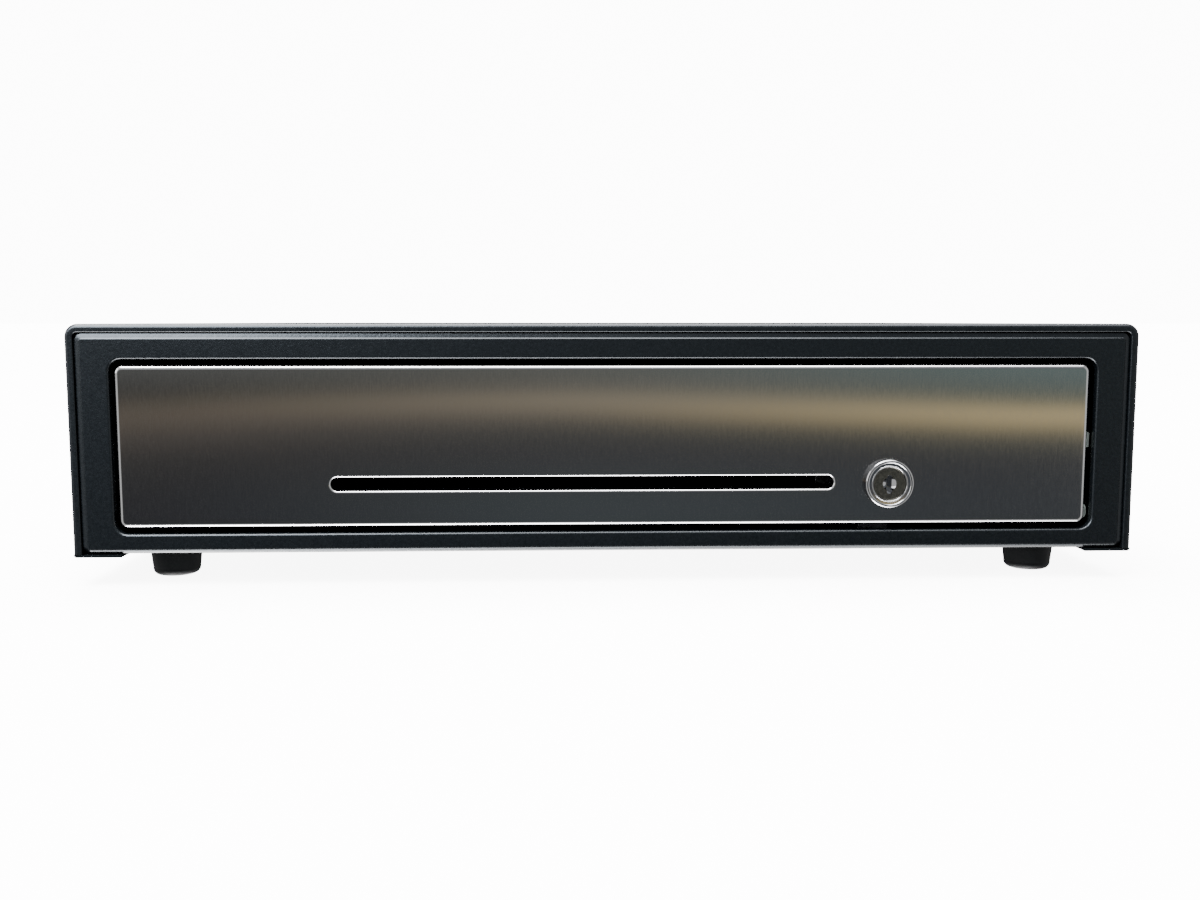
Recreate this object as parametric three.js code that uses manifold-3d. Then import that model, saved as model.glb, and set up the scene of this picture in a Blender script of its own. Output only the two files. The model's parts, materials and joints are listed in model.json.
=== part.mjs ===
// Point-of-sale cash drawer: a painted steel case on four rubber feet, and a sheet-steel drawer on
// two three-section ball slides, with a brushed stainless front, a media slot, a key lock, a till
// with bill clips and a coin tray, and a solenoid latch with its ejector at the back.
//
// Millimetres. +X is the object's right seen from the front, +Y runs from the front to the back and
// +Z is up. The origin is the middle of the bounding box, at the height of the feet's soles.
import * as THREE from "three";
import { mergeVertices } from "three/addons/utils/BufferGeometryUtils.js";
import Module from "manifold-3d";

const wasm = await Module();
wasm.setup();

// ---------------------------------------------------------------- driving dimensions
const GAP = 0.3; // air between pieces that touch on the real object
const SHEET = 1; // thickness of every folded steel sheet

const CASE_HALF = 205; // half of the case's width
const CASE_TOP = 100;
const CASE_BOTTOM = 11; // underside of the cover's inward flanges
const CASE_FRONT = -206;
const CASE_REAR = 206.6;
const CASE_BEND = 5; // outside radius of the cover's two top bends
const COVER_FLANGE = 18; // width of the cover's inward bottom flanges
const COVER_LIP = 10; // width of the cover's inward rear flange
const HEM = 3.2; // thickness of the cover's rolled front edge
const HEM_DEPTH = 9;

const FLOOR = 12.2; // underside of the base plate
const FRAME_FACE = -205.7;
const FRAME_HALF = 201.5;
const FRAME_TOP = 96.5;
const FRAME_BEND = 2.3; // outside radius where the face turns back at its sides and top
const FRAME_CORNER = 2.2;
const FRAME_DEPTH = 10;
const LIP_DEPTH = 3; // depth of the rolled lip round the opening
const SOLE_END = -192.3; // how far back the frame reaches under the base plate
const SOLE_HALF = 198.7;
const STEP_FOOT = -191; // where the base plate steps down behind the frame's sole
const OPENING = { half: 189, low: 20, high: 86.6, radius: 4.7 };

const PANEL_FACE = -206.2;
const PANEL = { half: 186.5, low: 22.4, high: 84.4, radius: 3, depth: 5.5 };
const PANEL_SHIFT = [-0.5, 0, 0]; // the front sits half a millimetre left of the opening's middle
const SLOT = { from: -106.8, to: 86.8, middle: 38.9, height: 5 };
const LOCK = { x: 108, z: 38.5, face: -209.5, collar: 9.35, barrel: 8, bore: 6.7, end: -185 };

const BOX_HALF = 179.2; // outside of the drawer's side walls
const BOX_FLOOR = 22.5; // underside of the drawer's floor
const BOX_WALL_TOP = 79;
const BOX_FRONT = -199.9; // rear face of the drawer's front wall
const BOX_REAR = 150;
const LEDGE_END = -170; // how far back the drawer's front ledge reaches

const SLIDE_MIDDLE = 40.4; // height of the slides' centreline

const TILL = { half: 175.7, front: -168, rear: 146, low: 44, high: 79, wall: 2 };
const WELL_REAR = -38; // back of the coin well
const PARTITION = 2;
const BILLS = 5;
const CLIP = { y: 136, z: 68, shaft: 4 };

const FOOT = { x: 173.7, y: 181, high: 12 };

const HOOK = { x: 78, y: 182, z: 38, thick: 2, open: -20 }; // degrees from latched to released
const TAIL_ARM = 14; // from the hook's pivot to the plunger's pin
const SOLENOID = { y: 196, z: 39, from: 98, to: 132, half: 9, wall: 1.5, coil: 8.8, bore: 5.2, core: 4.8 };
const DECK = { low: 26, high: 27, left: 40, right: 136, front: 172, rear: 205 }; // the latch bracket's
const EJECTOR = { x: -40, z: 45 };
const SWITCH = { x: 46, y: 191.25 };
const JACK = { x: -120, z: 32, front: 192, half: 7, high: 6.5 };
const REAR_SCREW = { x: 120, high: 93.5, low: 18.5, hole: 1.9 };
const PIN_HOLE = 2.3; // radius of the holes for pins and shanks of 2 mm

// ---------------------------------------------------------------- materials
const paint = (color, roughness, metalness) =>
  new THREE.MeshStandardMaterial({ color, roughness, metalness });
const BLACK_PAINT = paint(0x1b1d20, 0.5, 0.2);
const STAINLESS = paint(0x8e8a84, 0.32, 1);
const CHROME = paint(0xd8d8da, 0.12, 1);
const ZINC = paint(0xa9adb0, 0.35, 1);
const RUBBER = paint(0x14171a, 0.85, 0);
const TILL_PLASTIC = paint(0x17181a, 0.55, 0);
const NYLON = paint(0xd9d8d2, 0.5, 0);
const COIL_TAPE = paint(0x1f3f8a, 0.4, 0);
const LEAD_JACKET = paint(0x202020, 0.6, 0);

// ---------------------------------------------------------------- shapes and solids
// A three.js geometry as a manifold-3d solid.
function solid(geometry) {
  const bare = geometry.index ? geometry.toNonIndexed() : geometry.clone();
  bare.deleteAttribute("normal");
  bare.deleteAttribute("uv");
  const merged = mergeVertices(bare, 1e-4);
  return new wasm.Manifold(
    new wasm.Mesh({
      numProp: 3,
      vertProperties: merged.attributes.position.array,
      triVerts: new Uint32Array(merged.index.array),
    }),
  );
}

const union = (...parts) => parts.reduce((sum, part) => sum.add(part));
const cut = (body, ...tools) => tools.reduce((rest, tool) => rest.subtract(tool), body);

function geometryOf(manifold) {
  const made = manifold.getMesh();
  return new THREE.BufferGeometry()
    .setAttribute("position", new THREE.BufferAttribute(made.vertProperties, 3))
    .setIndex(new THREE.BufferAttribute(made.triVerts, 1));
}

const box = (x0, x1, y0, y1, z0, z1) =>
  solid(
    new THREE.BoxGeometry(x1 - x0, y1 - y0, z1 - z0).translate(
      (x0 + x1) / 2,
      (y0 + y1) / 2,
      (z0 + z1) / 2,
    ),
  );

const polygon = (points) => new THREE.Shape(points.map(([a, b]) => new THREE.Vector2(a, b)));

// A rectangle with round corners.
function roundedRect(a0, a1, b0, b1, r) {
  const shape = new THREE.Shape();
  shape.moveTo(a0 + r, b0);
  shape.absarc(a1 - r, b0 + r, r, -Math.PI / 2, 0, false);
  shape.absarc(a1 - r, b1 - r, r, 0, Math.PI / 2, false);
  shape.absarc(a0 + r, b1 - r, r, Math.PI / 2, Math.PI, false);
  shape.absarc(a0 + r, b0 + r, r, Math.PI, 1.5 * Math.PI, false);
  return shape;
}

// Extrusions of an outline along one axis. The outline's two numbers are (y, z) along x,
// (x, z) along y and (x, y) along z.
function alongX(shape, from, to, curveSegments = 6) {
  const g = new THREE.ExtrudeGeometry(shape, { depth: to - from, bevelEnabled: false, curveSegments });
  const turn = new THREE.Matrix4().makeBasis(
    new THREE.Vector3(0, 1, 0),
    new THREE.Vector3(0, 0, 1),
    new THREE.Vector3(1, 0, 0),
  );
  return solid(g.applyMatrix4(turn).translate(from, 0, 0));
}

function alongY(shape, from, to, curveSegments = 6) {
  const g = new THREE.ExtrudeGeometry(shape, { depth: to - from, bevelEnabled: false, curveSegments });
  return solid(g.rotateX(Math.PI / 2).translate(0, to, 0));
}

function alongZ(shape, from, to, curveSegments = 6) {
  const g = new THREE.ExtrudeGeometry(shape, { depth: to - from, bevelEnabled: false, curveSegments });
  return solid(g.translate(0, 0, from));
}

// Round solids. A cylinder is centred on (a, b), the two numbers an outline along that axis has.
function cylinder(axis, a, b, from, to, radius, segments = 20) {
  const g = new THREE.CylinderGeometry(radius, radius, to - from, segments);
  const middle = (from + to) / 2;
  if (axis === "x") g.rotateZ(-Math.PI / 2).translate(middle, a, b);
  if (axis === "y") g.translate(a, middle, b);
  if (axis === "z") g.rotateX(Math.PI / 2).translate(a, b, middle);
  return solid(g);
}

// A profile of [radius, height] points turned about the Z axis.
const lathe = (profile, segments = 20) =>
  solid(
    new THREE.LatheGeometry(
      profile.map(([r, z]) => new THREE.Vector2(r, z)),
      segments,
    ).rotateX(Math.PI / 2),
  );

// A round wire along a curve.
function wire(curve, radius, steps, sides) {
  const section = new THREE.Shape();
  for (let i = 0; i < sides; i++) {
    const angle = (2 * Math.PI * i) / sides;
    const x = radius * Math.cos(angle);
    const y = radius * Math.sin(angle);
    if (i === 0) section.moveTo(x, y);
    else section.lineTo(x, y);
  }
  return solid(new THREE.ExtrudeGeometry(section, { steps, extrudePath: curve, bevelEnabled: false }));
}

class Helix extends THREE.Curve {
  constructor(radius, from, to, turns) {
    super();
    Object.assign(this, { radius, from, to, turns });
  }
  getPoint(t, target = new THREE.Vector3()) {
    const angle = 2 * Math.PI * this.turns * t;
    return target.set(
      this.radius * Math.cos(angle),
      this.from + (this.to - this.from) * t,
      this.radius * Math.sin(angle),
    );
  }
}

// ---------------------------------------------------------------- the assembly
const group = new THREE.Group();

function add(name, body, material, parent = group) {
  const mesh = new THREE.Mesh(geometryOf(body), material);
  mesh.name = name;
  parent.add(mesh);
  return mesh;
}

const SIDES = [
  ["left", -1],
  ["right", 1],
];
const mirror = (body, side) => (side > 0 ? body : body.mirror([1, 0, 0]));

// ---------------------------------------------------------------- case
// The cover's outline seen from the front: an arch with its feet folded inwards.
function arch(outerHalf, top, bend, foot, thick) {
  const inner = outerHalf - thick;
  const shape = new THREE.Shape();
  shape.moveTo(-outerHalf + foot, CASE_BOTTOM);
  shape.lineTo(-outerHalf + foot, CASE_BOTTOM + SHEET);
  shape.lineTo(-inner, CASE_BOTTOM + SHEET);
  shape.absarc(-inner + bend - thick, top - bend, bend - thick, Math.PI, Math.PI / 2, true);
  shape.absarc(inner - bend + thick, top - bend, bend - thick, Math.PI / 2, 0, true);
  shape.lineTo(inner, CASE_BOTTOM + SHEET);
  shape.lineTo(outerHalf - foot, CASE_BOTTOM + SHEET);
  shape.lineTo(outerHalf - foot, CASE_BOTTOM);
  shape.lineTo(outerHalf, CASE_BOTTOM);
  shape.absarc(outerHalf - bend, top - bend, bend, 0, Math.PI / 2, false);
  shape.absarc(-outerHalf + bend, top - bend, bend, Math.PI / 2, Math.PI, false);
  shape.lineTo(-outerHalf, CASE_BOTTOM);
  return shape;
}

function topCover() {
  const shell = alongY(arch(CASE_HALF, CASE_TOP, CASE_BEND, COVER_FLANGE, SHEET), CASE_FRONT, CASE_REAR);
  const hem = alongY(
    arch(CASE_HALF, CASE_TOP, CASE_BEND, COVER_FLANGE, HEM),
    CASE_FRONT,
    CASE_FRONT + HEM_DEPTH,
  );
  const lip = alongY(
    arch(CASE_HALF, CASE_TOP, CASE_BEND, COVER_FLANGE, SHEET),
    CASE_REAR - SHEET,
    CASE_REAR,
  );
  const inside = CASE_HALF - COVER_LIP;
  const back = cut(
    alongY(
      roundedRect(-CASE_HALF, CASE_HALF, CASE_BOTTOM + SHEET, CASE_TOP, CASE_BEND - 0.01),
      CASE_REAR - SHEET,
      CASE_REAR,
    ),
    box(-inside, inside, CASE_REAR - 2 * SHEET, CASE_REAR + SHEET, 0, CASE_TOP - COVER_LIP),
    box(-CASE_HALF, CASE_HALF, CASE_REAR - 2 * SHEET, CASE_REAR + SHEET, 0, FLOOR + 2 * SHEET),
  );
  const holes = [-1, 1].map((side) =>
    cylinder("y", side * REAR_SCREW.x, REAR_SCREW.high, CASE_REAR - 3, CASE_REAR + 1, REAR_SCREW.hole, 12),
  );
  return cut(union(shell, hem, lip, back), ...holes);
}
add("top_cover", topCover(), BLACK_PAINT);

// A block as wide and high as the frame, whose face turns back at the sides and top in flats.
function bentBlock(inset, face, back) {
  const radius = FRAME_BEND - inset;
  const low = FLOOR + inset;
  const corner = FRAME_CORNER - inset;
  const rings = [0, 30, 60, 90].map((degrees) => {
    const turn = (degrees * Math.PI) / 180;
    const short = inset + radius * (1 - Math.sin(turn));
    const y = face + radius * (1 - Math.cos(turn));
    const ring = roundedRect(-FRAME_HALF + short, FRAME_HALF - short, low, FRAME_TOP - short, corner);
    return alongY(ring, y, degrees === 90 ? back : y + 0.01, 2);
  });
  return wasm.Manifold.hull(rings);
}

// The pressed frame round the drawer opening: face, lip, and edges folded back and out.
function frontFrame() {
  const back = FRAME_FACE + FRAME_DEPTH;
  const opening = (grow, y0, y1) =>
    alongY(
      roundedRect(
        -OPENING.half - grow,
        OPENING.half + grow,
        OPENING.low - grow,
        OPENING.high + grow,
        OPENING.radius + grow,
      ),
      y0,
      y1,
    );
  const shell = cut(bentBlock(0, FRAME_FACE, back), bentBlock(SHEET, FRAME_FACE + SHEET, back + 1));
  const lip = opening(SHEET, FRAME_FACE, FRAME_FACE + LIP_DEPTH);
  const edge = CASE_HALF - SHEET - GAP;
  const ridge = CASE_TOP - SHEET - GAP;
  const inside = roundedRect(-FRAME_HALF + SHEET, FRAME_HALF - SHEET, 0, FRAME_TOP - SHEET, 1);
  const outer = cut(
    alongY(roundedRect(-edge, edge, FLOOR, ridge, CASE_BEND - SHEET), back - SHEET, back, 2),
    alongY(inside, back - 2, back + 1, 2),
  );
  const sole = box(-SOLE_HALF, SOLE_HALF, FRAME_FACE + SHEET, SOLE_END, FLOOR, FLOOR + SHEET);
  return cut(union(shell, lip, outer, sole), opening(0, FRAME_FACE - 1, FRAME_FACE + LIP_DEPTH + 1));
}
add("front_frame", frontFrame(), BLACK_PAINT);

// The base plate steps up over the frame's sole at the front, and its sides and back are turned up.
const JOGGLE = FLOOR + SHEET + GAP;
function basePlate() {
  const half = CASE_HALF - SHEET - GAP;
  const front = -204;
  const behindStep = STEP_FOOT + SHEET;
  const cornerNotch = 195; // the front corners are cut away outside this, round the frame's sides
  const sideHigh = 10;
  const back = { half: 185, high: 12 };
  const step = polygon([
    [front, JOGGLE],
    [STEP_FOOT, JOGGLE],
    [STEP_FOOT, FLOOR],
    [CASE_REAR, FLOOR],
    [CASE_REAR, FLOOR + SHEET],
    [behindStep, FLOOR + SHEET],
    [behindStep, JOGGLE + SHEET],
    [front, JOGGLE + SHEET],
  ]);
  const floor = cut(
    alongX(step, -half, half),
    box(-half - 1, -cornerNotch, front - 1, STEP_FOOT - SHEET, 0, 30),
    box(cornerNotch, half + 1, front - 1, STEP_FOOT - SHEET, 0, 30),
  );
  const sides = [-1, 1].map((side) => {
    const inner = side * (half - SHEET);
    const outer = side * half;
    const [x0, x1] = [Math.min(inner, outer), Math.max(inner, outer)];
    return box(x0, x1, behindStep, CASE_REAR - 13, FLOOR, FLOOR + sideHigh);
  });
  const wall = box(-back.half, back.half, CASE_REAR - SHEET, CASE_REAR, FLOOR, FLOOR + back.high);
  const feet = [-1, 1].flatMap((sx) =>
    [-1, 1].map((sy) => cylinder("z", sx * FOOT.x, sy * FOOT.y, 0, 20, PIN_HOLE, 12)),
  );
  const screws = [-1, 1].map((side) =>
    cylinder("y", side * REAR_SCREW.x, REAR_SCREW.low, CASE_REAR - 3, CASE_REAR + 1, REAR_SCREW.hole, 12),
  );
  return cut(union(floor, ...sides, wall), ...feet, ...screws);
}
add("base_plate", basePlate(), BLACK_PAINT);

const REAR_PANEL = CASE_REAR + GAP;
function rearPanel() {
  const sheet = alongY(
    roundedRect(-CASE_HALF + 0.8, CASE_HALF - 0.8, FLOOR + 0.1, CASE_TOP - 0.8, CASE_BEND - 0.8),
    REAR_PANEL,
    REAR_PANEL + SHEET,
  );
  const holes = [-1, 1].flatMap((side) =>
    [REAR_SCREW.high, REAR_SCREW.low].map((z) =>
      cylinder("y", side * REAR_SCREW.x, z, REAR_PANEL - 1, REAR_PANEL + 2, REAR_SCREW.hole, 12),
    ),
  );
  const wide = JACK.half + 0.5;
  const high = JACK.high + 0.5;
  const socket = box(
    JACK.x - wide,
    JACK.x + wide,
    REAR_PANEL - 1,
    REAR_PANEL + SHEET + 1,
    JACK.z - high,
    JACK.z + high,
  );
  return cut(sheet, ...holes, socket);
}
add("rear_panel", rearPanel(), BLACK_PAINT);

// A pan-head screw standing on the XY plane, its shank upwards, with a cross recess below.
function panScrew(headRadius, headHigh, shankRadius, length) {
  const head = lathe(
    [
      [0, 0],
      [headRadius * 0.7, 0],
      [headRadius, headHigh * 0.5],
      [headRadius, headHigh],
      [shankRadius, headHigh],
      [shankRadius, headHigh + length],
      [0, headHigh + length],
    ],
    14,
  );
  const arm = headRadius * 0.55;
  const slit = headRadius * 0.12;
  const deep = headHigh * 0.5;
  return cut(head, box(-arm, arm, -slit, slit, -1, deep), box(-slit, slit, -arm, arm, -1, deep));
}

const SCREW = { head: 3.3, high: 1.4, shank: 1.5, length: 8, clear: 0.2 };
for (const [label, z] of [
  ["upper", REAR_SCREW.high],
  ["lower", REAR_SCREW.low],
])
  for (const [name, side] of SIDES) {
    const top = REAR_PANEL + SHEET + SCREW.clear + SCREW.high;
    const screw = panScrew(SCREW.head, SCREW.high, SCREW.shank, SCREW.length)
      .rotate([90, 0, 0])
      .translate([side * REAR_SCREW.x, top, z]);
    add(`rear_screw_${label}_${name}`, screw, ZINC);
  }

// ---------------------------------------------------------------- feet
const FOOT_SCREW = { head: 4, high: 2.4, shank: 2, length: 12, face: 3.3 };
const foot = cut(
  lathe([
    [0, 0],
    [6.6, 0],
    [8, 0.5],
    [8.9, 1.7],
    [9.2, 3],
    [10, FOOT.high],
    [0, FOOT.high],
  ]),
  cylinder("z", 0, 0, -1, FOOT_SCREW.face + FOOT_SCREW.high + GAP, 5, 16),
  cylinder("z", 0, 0, 0, 20, PIN_HOLE, 12),
);
for (const [end, sy] of [
  ["front", -1],
  ["rear", 1],
])
  for (const [name, sx] of SIDES) {
    const place = [sx * FOOT.x, sy * FOOT.y, 0];
    add(`foot_${end}_${name}`, foot.translate(place), RUBBER);
    const screw = panScrew(FOOT_SCREW.head, FOOT_SCREW.high, FOOT_SCREW.shank, FOOT_SCREW.length);
    add(`foot_screw_${end}_${name}`, screw.translate([place[0], place[1], FOOT_SCREW.face]), ZINC);
  }

// ---------------------------------------------------------------- ball slides
// Sections of the right-hand slide, mirrored for the left. A channel's web is its outer wall, from
// `webFrom` to `webTo` out from the drawer's side; its lips reach in to `lipTo` and may end in hooks.
function channel({ webFrom, webTo, lipTo, half, lip, hook = 0, hookWide = 0 }) {
  const upper = [
    [webTo, half],
    [lipTo, half],
    ...(hook
      ? [
          [lipTo, half - hook],
          [lipTo + hookWide, half - hook],
          [lipTo + hookWide, half - lip],
        ]
      : [[lipTo, half - lip]]),
    [webFrom, half - lip],
  ];
  const lower = upper.map(([u, v]) => [u, -v]).reverse();
  const points = [...upper, ...lower].map(([u, v]) => [BOX_HALF + u, SLIDE_MIDDLE + v]);
  return polygon(webTo > lipTo ? points : points.reverse());
}

const SLIDE_SECTIONS = {
  outer: { webFrom: 9.8, webTo: 11, lipTo: 2, half: 17.5, lip: 1.2, hook: 3.3, hookWide: 1.2 },
  outer_cage: { webFrom: 9.05, webTo: 9.5, lipTo: 4.6, half: 15.4, lip: 0.8 },
  middle: { webFrom: 7.6, webTo: 8.7, lipTo: 4, half: 13.3, lip: 1.1, hook: 2.4, hookWide: 1 },
  inner_cage: { webFrom: 6.8, webTo: 7.25, lipTo: 5.3, half: 11, lip: 0.8 },
  inner: { webFrom: 1.5, webTo: 0.3, lipTo: 6.4, half: 9, lip: 1.2 },
};
// Where each section starts and ends with the drawer shut.
const SLIDE_SPANS = {
  outer: [-199.5, 150.5],
  outer_cage: [-115, 15],
  middle: [-199, 149],
  inner_cage: [-110, 40],
  inner: [-199.5, 146],
};
const WEB_NOTCH = 6; // the fixed channel's web starts this far behind its lips
const RACE = 6.5; // height of a channel's race, at its top and bottom

function slideSection(kind) {
  const [from, to] = SLIDE_SPANS[kind];
  const section = SLIDE_SECTIONS[kind];
  const body = alongY(channel(section), from, to);
  if (kind !== "outer") return body;
  const low = SLIDE_MIDDLE - section.half + RACE;
  const high = SLIDE_MIDDLE + section.half - RACE;
  const [near, far] = [BOX_HALF + section.webFrom - 1, BOX_HALF + section.webTo + 1];
  return cut(body, box(near, far, from - 1, from + WEB_NOTCH, low, high));
}
for (const [name, side] of SIDES)
  for (const kind of Object.keys(SLIDE_SECTIONS))
    add(`${name}_slide_${kind}`, mirror(slideSection(kind), side), ZINC);

// Angle brackets that carry the slides' fixed channels on the base plate.
function railBracket() {
  const face = BOX_HALF + SLIDE_SECTIONS.outer.webTo + GAP;
  const wide = 9;
  const top = 62;
  return alongY(
    polygon([
      [face, JOGGLE],
      [face + wide, JOGGLE],
      [face + wide, JOGGLE + SHEET],
      [face + SHEET, JOGGLE + SHEET],
      [face + SHEET, top],
      [face, top],
    ]),
    STEP_FOOT + SHEET + 0.5,
    BOX_REAR,
  );
}
for (const [name, side] of SIDES) add(`${name}_rail_bracket`, mirror(railBracket(), side), BLACK_PAINT);

// ---------------------------------------------------------------- drawer
const slotOutline = (grow) => {
  const r = SLOT.height / 2 + grow;
  return roundedRect(SLOT.from - grow, SLOT.to + grow, SLOT.middle - r, SLOT.middle + r, r - 0.01);
};
const lockHole = (from, to) => cylinder("y", LOCK.x, LOCK.z, from, to, LOCK.barrel + GAP, 24);

// The stainless front: a shallow pan with the slot and the lock's hole.
function frontPanel() {
  const pan = (grow, y0, y1) =>
    alongY(
      roundedRect(
        -PANEL.half + grow,
        PANEL.half - grow,
        PANEL.low + grow,
        PANEL.high - grow,
        PANEL.radius - grow,
      ),
      y0,
      y1,
      4,
    ).translate(PANEL_SHIFT);
  return cut(
    pan(0, PANEL_FACE, PANEL_FACE + PANEL.depth),
    pan(SHEET, PANEL_FACE + SHEET, PANEL_FACE + PANEL.depth + 1),
    alongY(slotOutline(0), PANEL_FACE - 1, PANEL_FACE + SHEET + 1),
    lockHole(PANEL_FACE - 1, PANEL_FACE + SHEET + 1),
  );
}
add("front_panel", frontPanel(), STAINLESS);

// The drawer body: floor, sides, back, a front pan inside the stainless one, and a ledge over the
// lock. The floor has a slit that the lock's cam drops through.
const CAM = { from: -182.4, to: -180.4, length: 23.2, hub: 7, half: 3 };
const BUSHING = { neck: 4.1, flange: 6, bore: 2.8 }; // the long rod's, in the drawer's back
function drawerBox() {
  const half = BOX_HALF;
  const wallHalf = PANEL.half - SHEET - GAP;
  const wallLow = PANEL.low + SHEET + GAP;
  const wallHigh = PANEL.high - SHEET - GAP;
  const round = PANEL.radius - SHEET - GAP;
  const pan = cut(
    alongY(
      roundedRect(-wallHalf, wallHalf, wallLow, wallHigh, round),
      PANEL_FACE + SHEET + GAP,
      BOX_FRONT,
      4,
    ),
    box(
      -wallHalf + SHEET,
      wallHalf - SHEET,
      PANEL_FACE,
      BOX_FRONT - SHEET,
      wallLow + SHEET,
      wallHigh - SHEET,
    ),
  ).translate(PANEL_SHIFT);
  const edge = PANEL_FACE + PANEL.depth + GAP; // the floor and the sides start behind the pan
  const floor = box(-half, half, edge, BOX_REAR, BOX_FLOOR, BOX_FLOOR + SHEET);
  const kick = box(-half, half, edge, edge + SHEET, BOX_FLOOR, wallLow + SHEET);
  const sides = [-1, 1].map((side) => {
    const inner = side * (half - SHEET);
    const outer = side * half;
    return box(
      Math.min(inner, outer),
      Math.max(inner, outer),
      edge,
      BOX_REAR,
      BOX_FLOOR,
      BOX_WALL_TOP,
    );
  });
  const back = box(-half, half, BOX_REAR - SHEET, BOX_REAR, BOX_FLOOR, 74);
  const ledge = box(-half, half, edge, LEDGE_END, BOX_WALL_TOP, BOX_WALL_TOP + SHEET);
  return cut(
    union(pan, floor, kick, ...sides, back, ledge),
    alongY(slotOutline(0), BOX_FRONT - 2 * SHEET, BOX_FRONT + SHEET),
    lockHole(BOX_FRONT - 2 * SHEET, BOX_FRONT + SHEET),
    box(LOCK.x - 19.5, LOCK.x + 5.5, CAM.from - 1.2, CAM.to + 1.2, BOX_FLOOR - 1, BOX_FLOOR + 2 * SHEET),
    cylinder("y", LOCK.x, LOCK.z, BOX_REAR - 3, BOX_REAR + 2, BUSHING.neck + GAP, 16),
  );
}
add("drawer_box", drawerBox(), BLACK_PAINT);

// ---------------------------------------------------------------- lock
// Round pieces of the lock are turned about Z, then laid along Y with their heads to the front.
const layAlongY = (body) => body.rotate([-90, 0, 0]).translate([LOCK.x, 0, LOCK.z]);
add(
  "lock_housing",
  layAlongY(
    lathe(
      [
        [LOCK.bore, LOCK.face + 0.4],
        [8.2, LOCK.face],
        [8.9, LOCK.face + 0.3],
        [LOCK.collar, LOCK.face + 1],
        [LOCK.collar, PANEL_FACE - 0.2],
        [LOCK.barrel, PANEL_FACE - 0.2],
        [LOCK.barrel, LOCK.end],
        [LOCK.bore, LOCK.end],
        [LOCK.bore, LOCK.face + 0.4],
      ],
      28,
    ),
  ),
  CHROME,
);

const NUT = { acrossFlats: 22, thick: 4.5 };
function hexagon(acrossFlats) {
  const r = acrossFlats / Math.sqrt(3);
  const corner = (i) => [r * Math.cos((i * Math.PI) / 3), r * Math.sin((i * Math.PI) / 3)];
  return [0, 1, 2, 3, 4, 5].map(corner);
}
add(
  "lock_nut",
  cut(
    alongY(
      polygon(hexagon(NUT.acrossFlats).map(([x, z]) => [LOCK.x + x, LOCK.z + z])),
      BOX_FRONT + GAP,
      BOX_FRONT + GAP + NUT.thick,
    ),
    cylinder("y", LOCK.x, LOCK.z, BOX_FRONT - 1, BOX_FRONT + 6, LOCK.barrel + GAP, 24),
  ),
  ZINC,
);

// The plug with its key slot; its tail carries the cam and the long rod to the rear.
const PLUG = { face: LOCK.face + 0.5, radius: 6.4, neck: -184.5, tail: 3 };
const KEYWAY = { half: 1.05, low: -4.1, high: 3.3, deep: 9, dimple: 2.7 };
add(
  "lock_plug",
  cut(
    union(
      cylinder("y", LOCK.x, LOCK.z, PLUG.face, PLUG.neck, PLUG.radius, 28),
      cylinder("y", LOCK.x, LOCK.z, PLUG.neck - 0.1, CAM.to + 0.2, PLUG.tail, 14),
    ),
    box(
      LOCK.x - KEYWAY.half,
      LOCK.x + KEYWAY.half,
      PLUG.face - 1,
      PLUG.face + KEYWAY.deep,
      LOCK.z + KEYWAY.low,
      LOCK.z + KEYWAY.high,
    ),
    cylinder("y", LOCK.x, LOCK.z, PLUG.face - 1, PLUG.face + 1, KEYWAY.dimple, 18),
  ),
  CHROME,
);

// At rest the cam points to the left; a quarter turn anticlockwise drops it behind the keeper.
const camOutline = new THREE.Shape();
camOutline.absarc(LOCK.x, LOCK.z, CAM.hub, -Math.PI / 2, Math.PI / 2, false);
camOutline.lineTo(LOCK.x - CAM.length, LOCK.z + CAM.half);
camOutline.lineTo(LOCK.x - CAM.length, LOCK.z - CAM.half);
add(
  "lock_cam",
  cut(
    alongY(camOutline, CAM.from, CAM.to, 8),
    cylinder("y", LOCK.x, LOCK.z, CAM.from - 1, CAM.to + 1, PLUG.tail + GAP, 14),
  ),
  ZINC,
);
const CRANK = { from: 156.5, to: 158.5, length: 11, half: 2 };
add(
  "lock_rod",
  union(
    cylinder("y", LOCK.x, LOCK.z, CAM.to + 0.5, CRANK.to, 2.5, 12),
    box(LOCK.x - CRANK.half, LOCK.x + CRANK.half, CRANK.from, CRANK.to, LOCK.z - CRANK.length, LOCK.z),
  ),
  ZINC,
);
add(
  "rod_bushing",
  cut(
    union(
      cylinder("y", LOCK.x, LOCK.z, BOX_REAR - 4, BOX_REAR + GAP, BUSHING.neck, 16),
      cylinder("y", LOCK.x, LOCK.z, BOX_REAR + GAP, BOX_REAR + 1.8, BUSHING.flange, 16),
    ),
    cylinder("y", LOCK.x, LOCK.z, BOX_REAR - 6, BOX_REAR + 4, BUSHING.bore, 16),
  ),
  NYLON,
);
const KEEPER = { front: -185.2, rear: -174, sole: 9, tab: 6, top: 20 };
add(
  "lock_keeper",
  union(
    box(LOCK.x - KEEPER.sole, LOCK.x + KEEPER.sole, KEEPER.front, KEEPER.rear, JOGGLE, JOGGLE + SHEET),
    box(LOCK.x - KEEPER.tab, LOCK.x + KEEPER.tab, KEEPER.front, KEEPER.front + SHEET, JOGGLE, KEEPER.top),
  ),
  ZINC,
);

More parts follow.
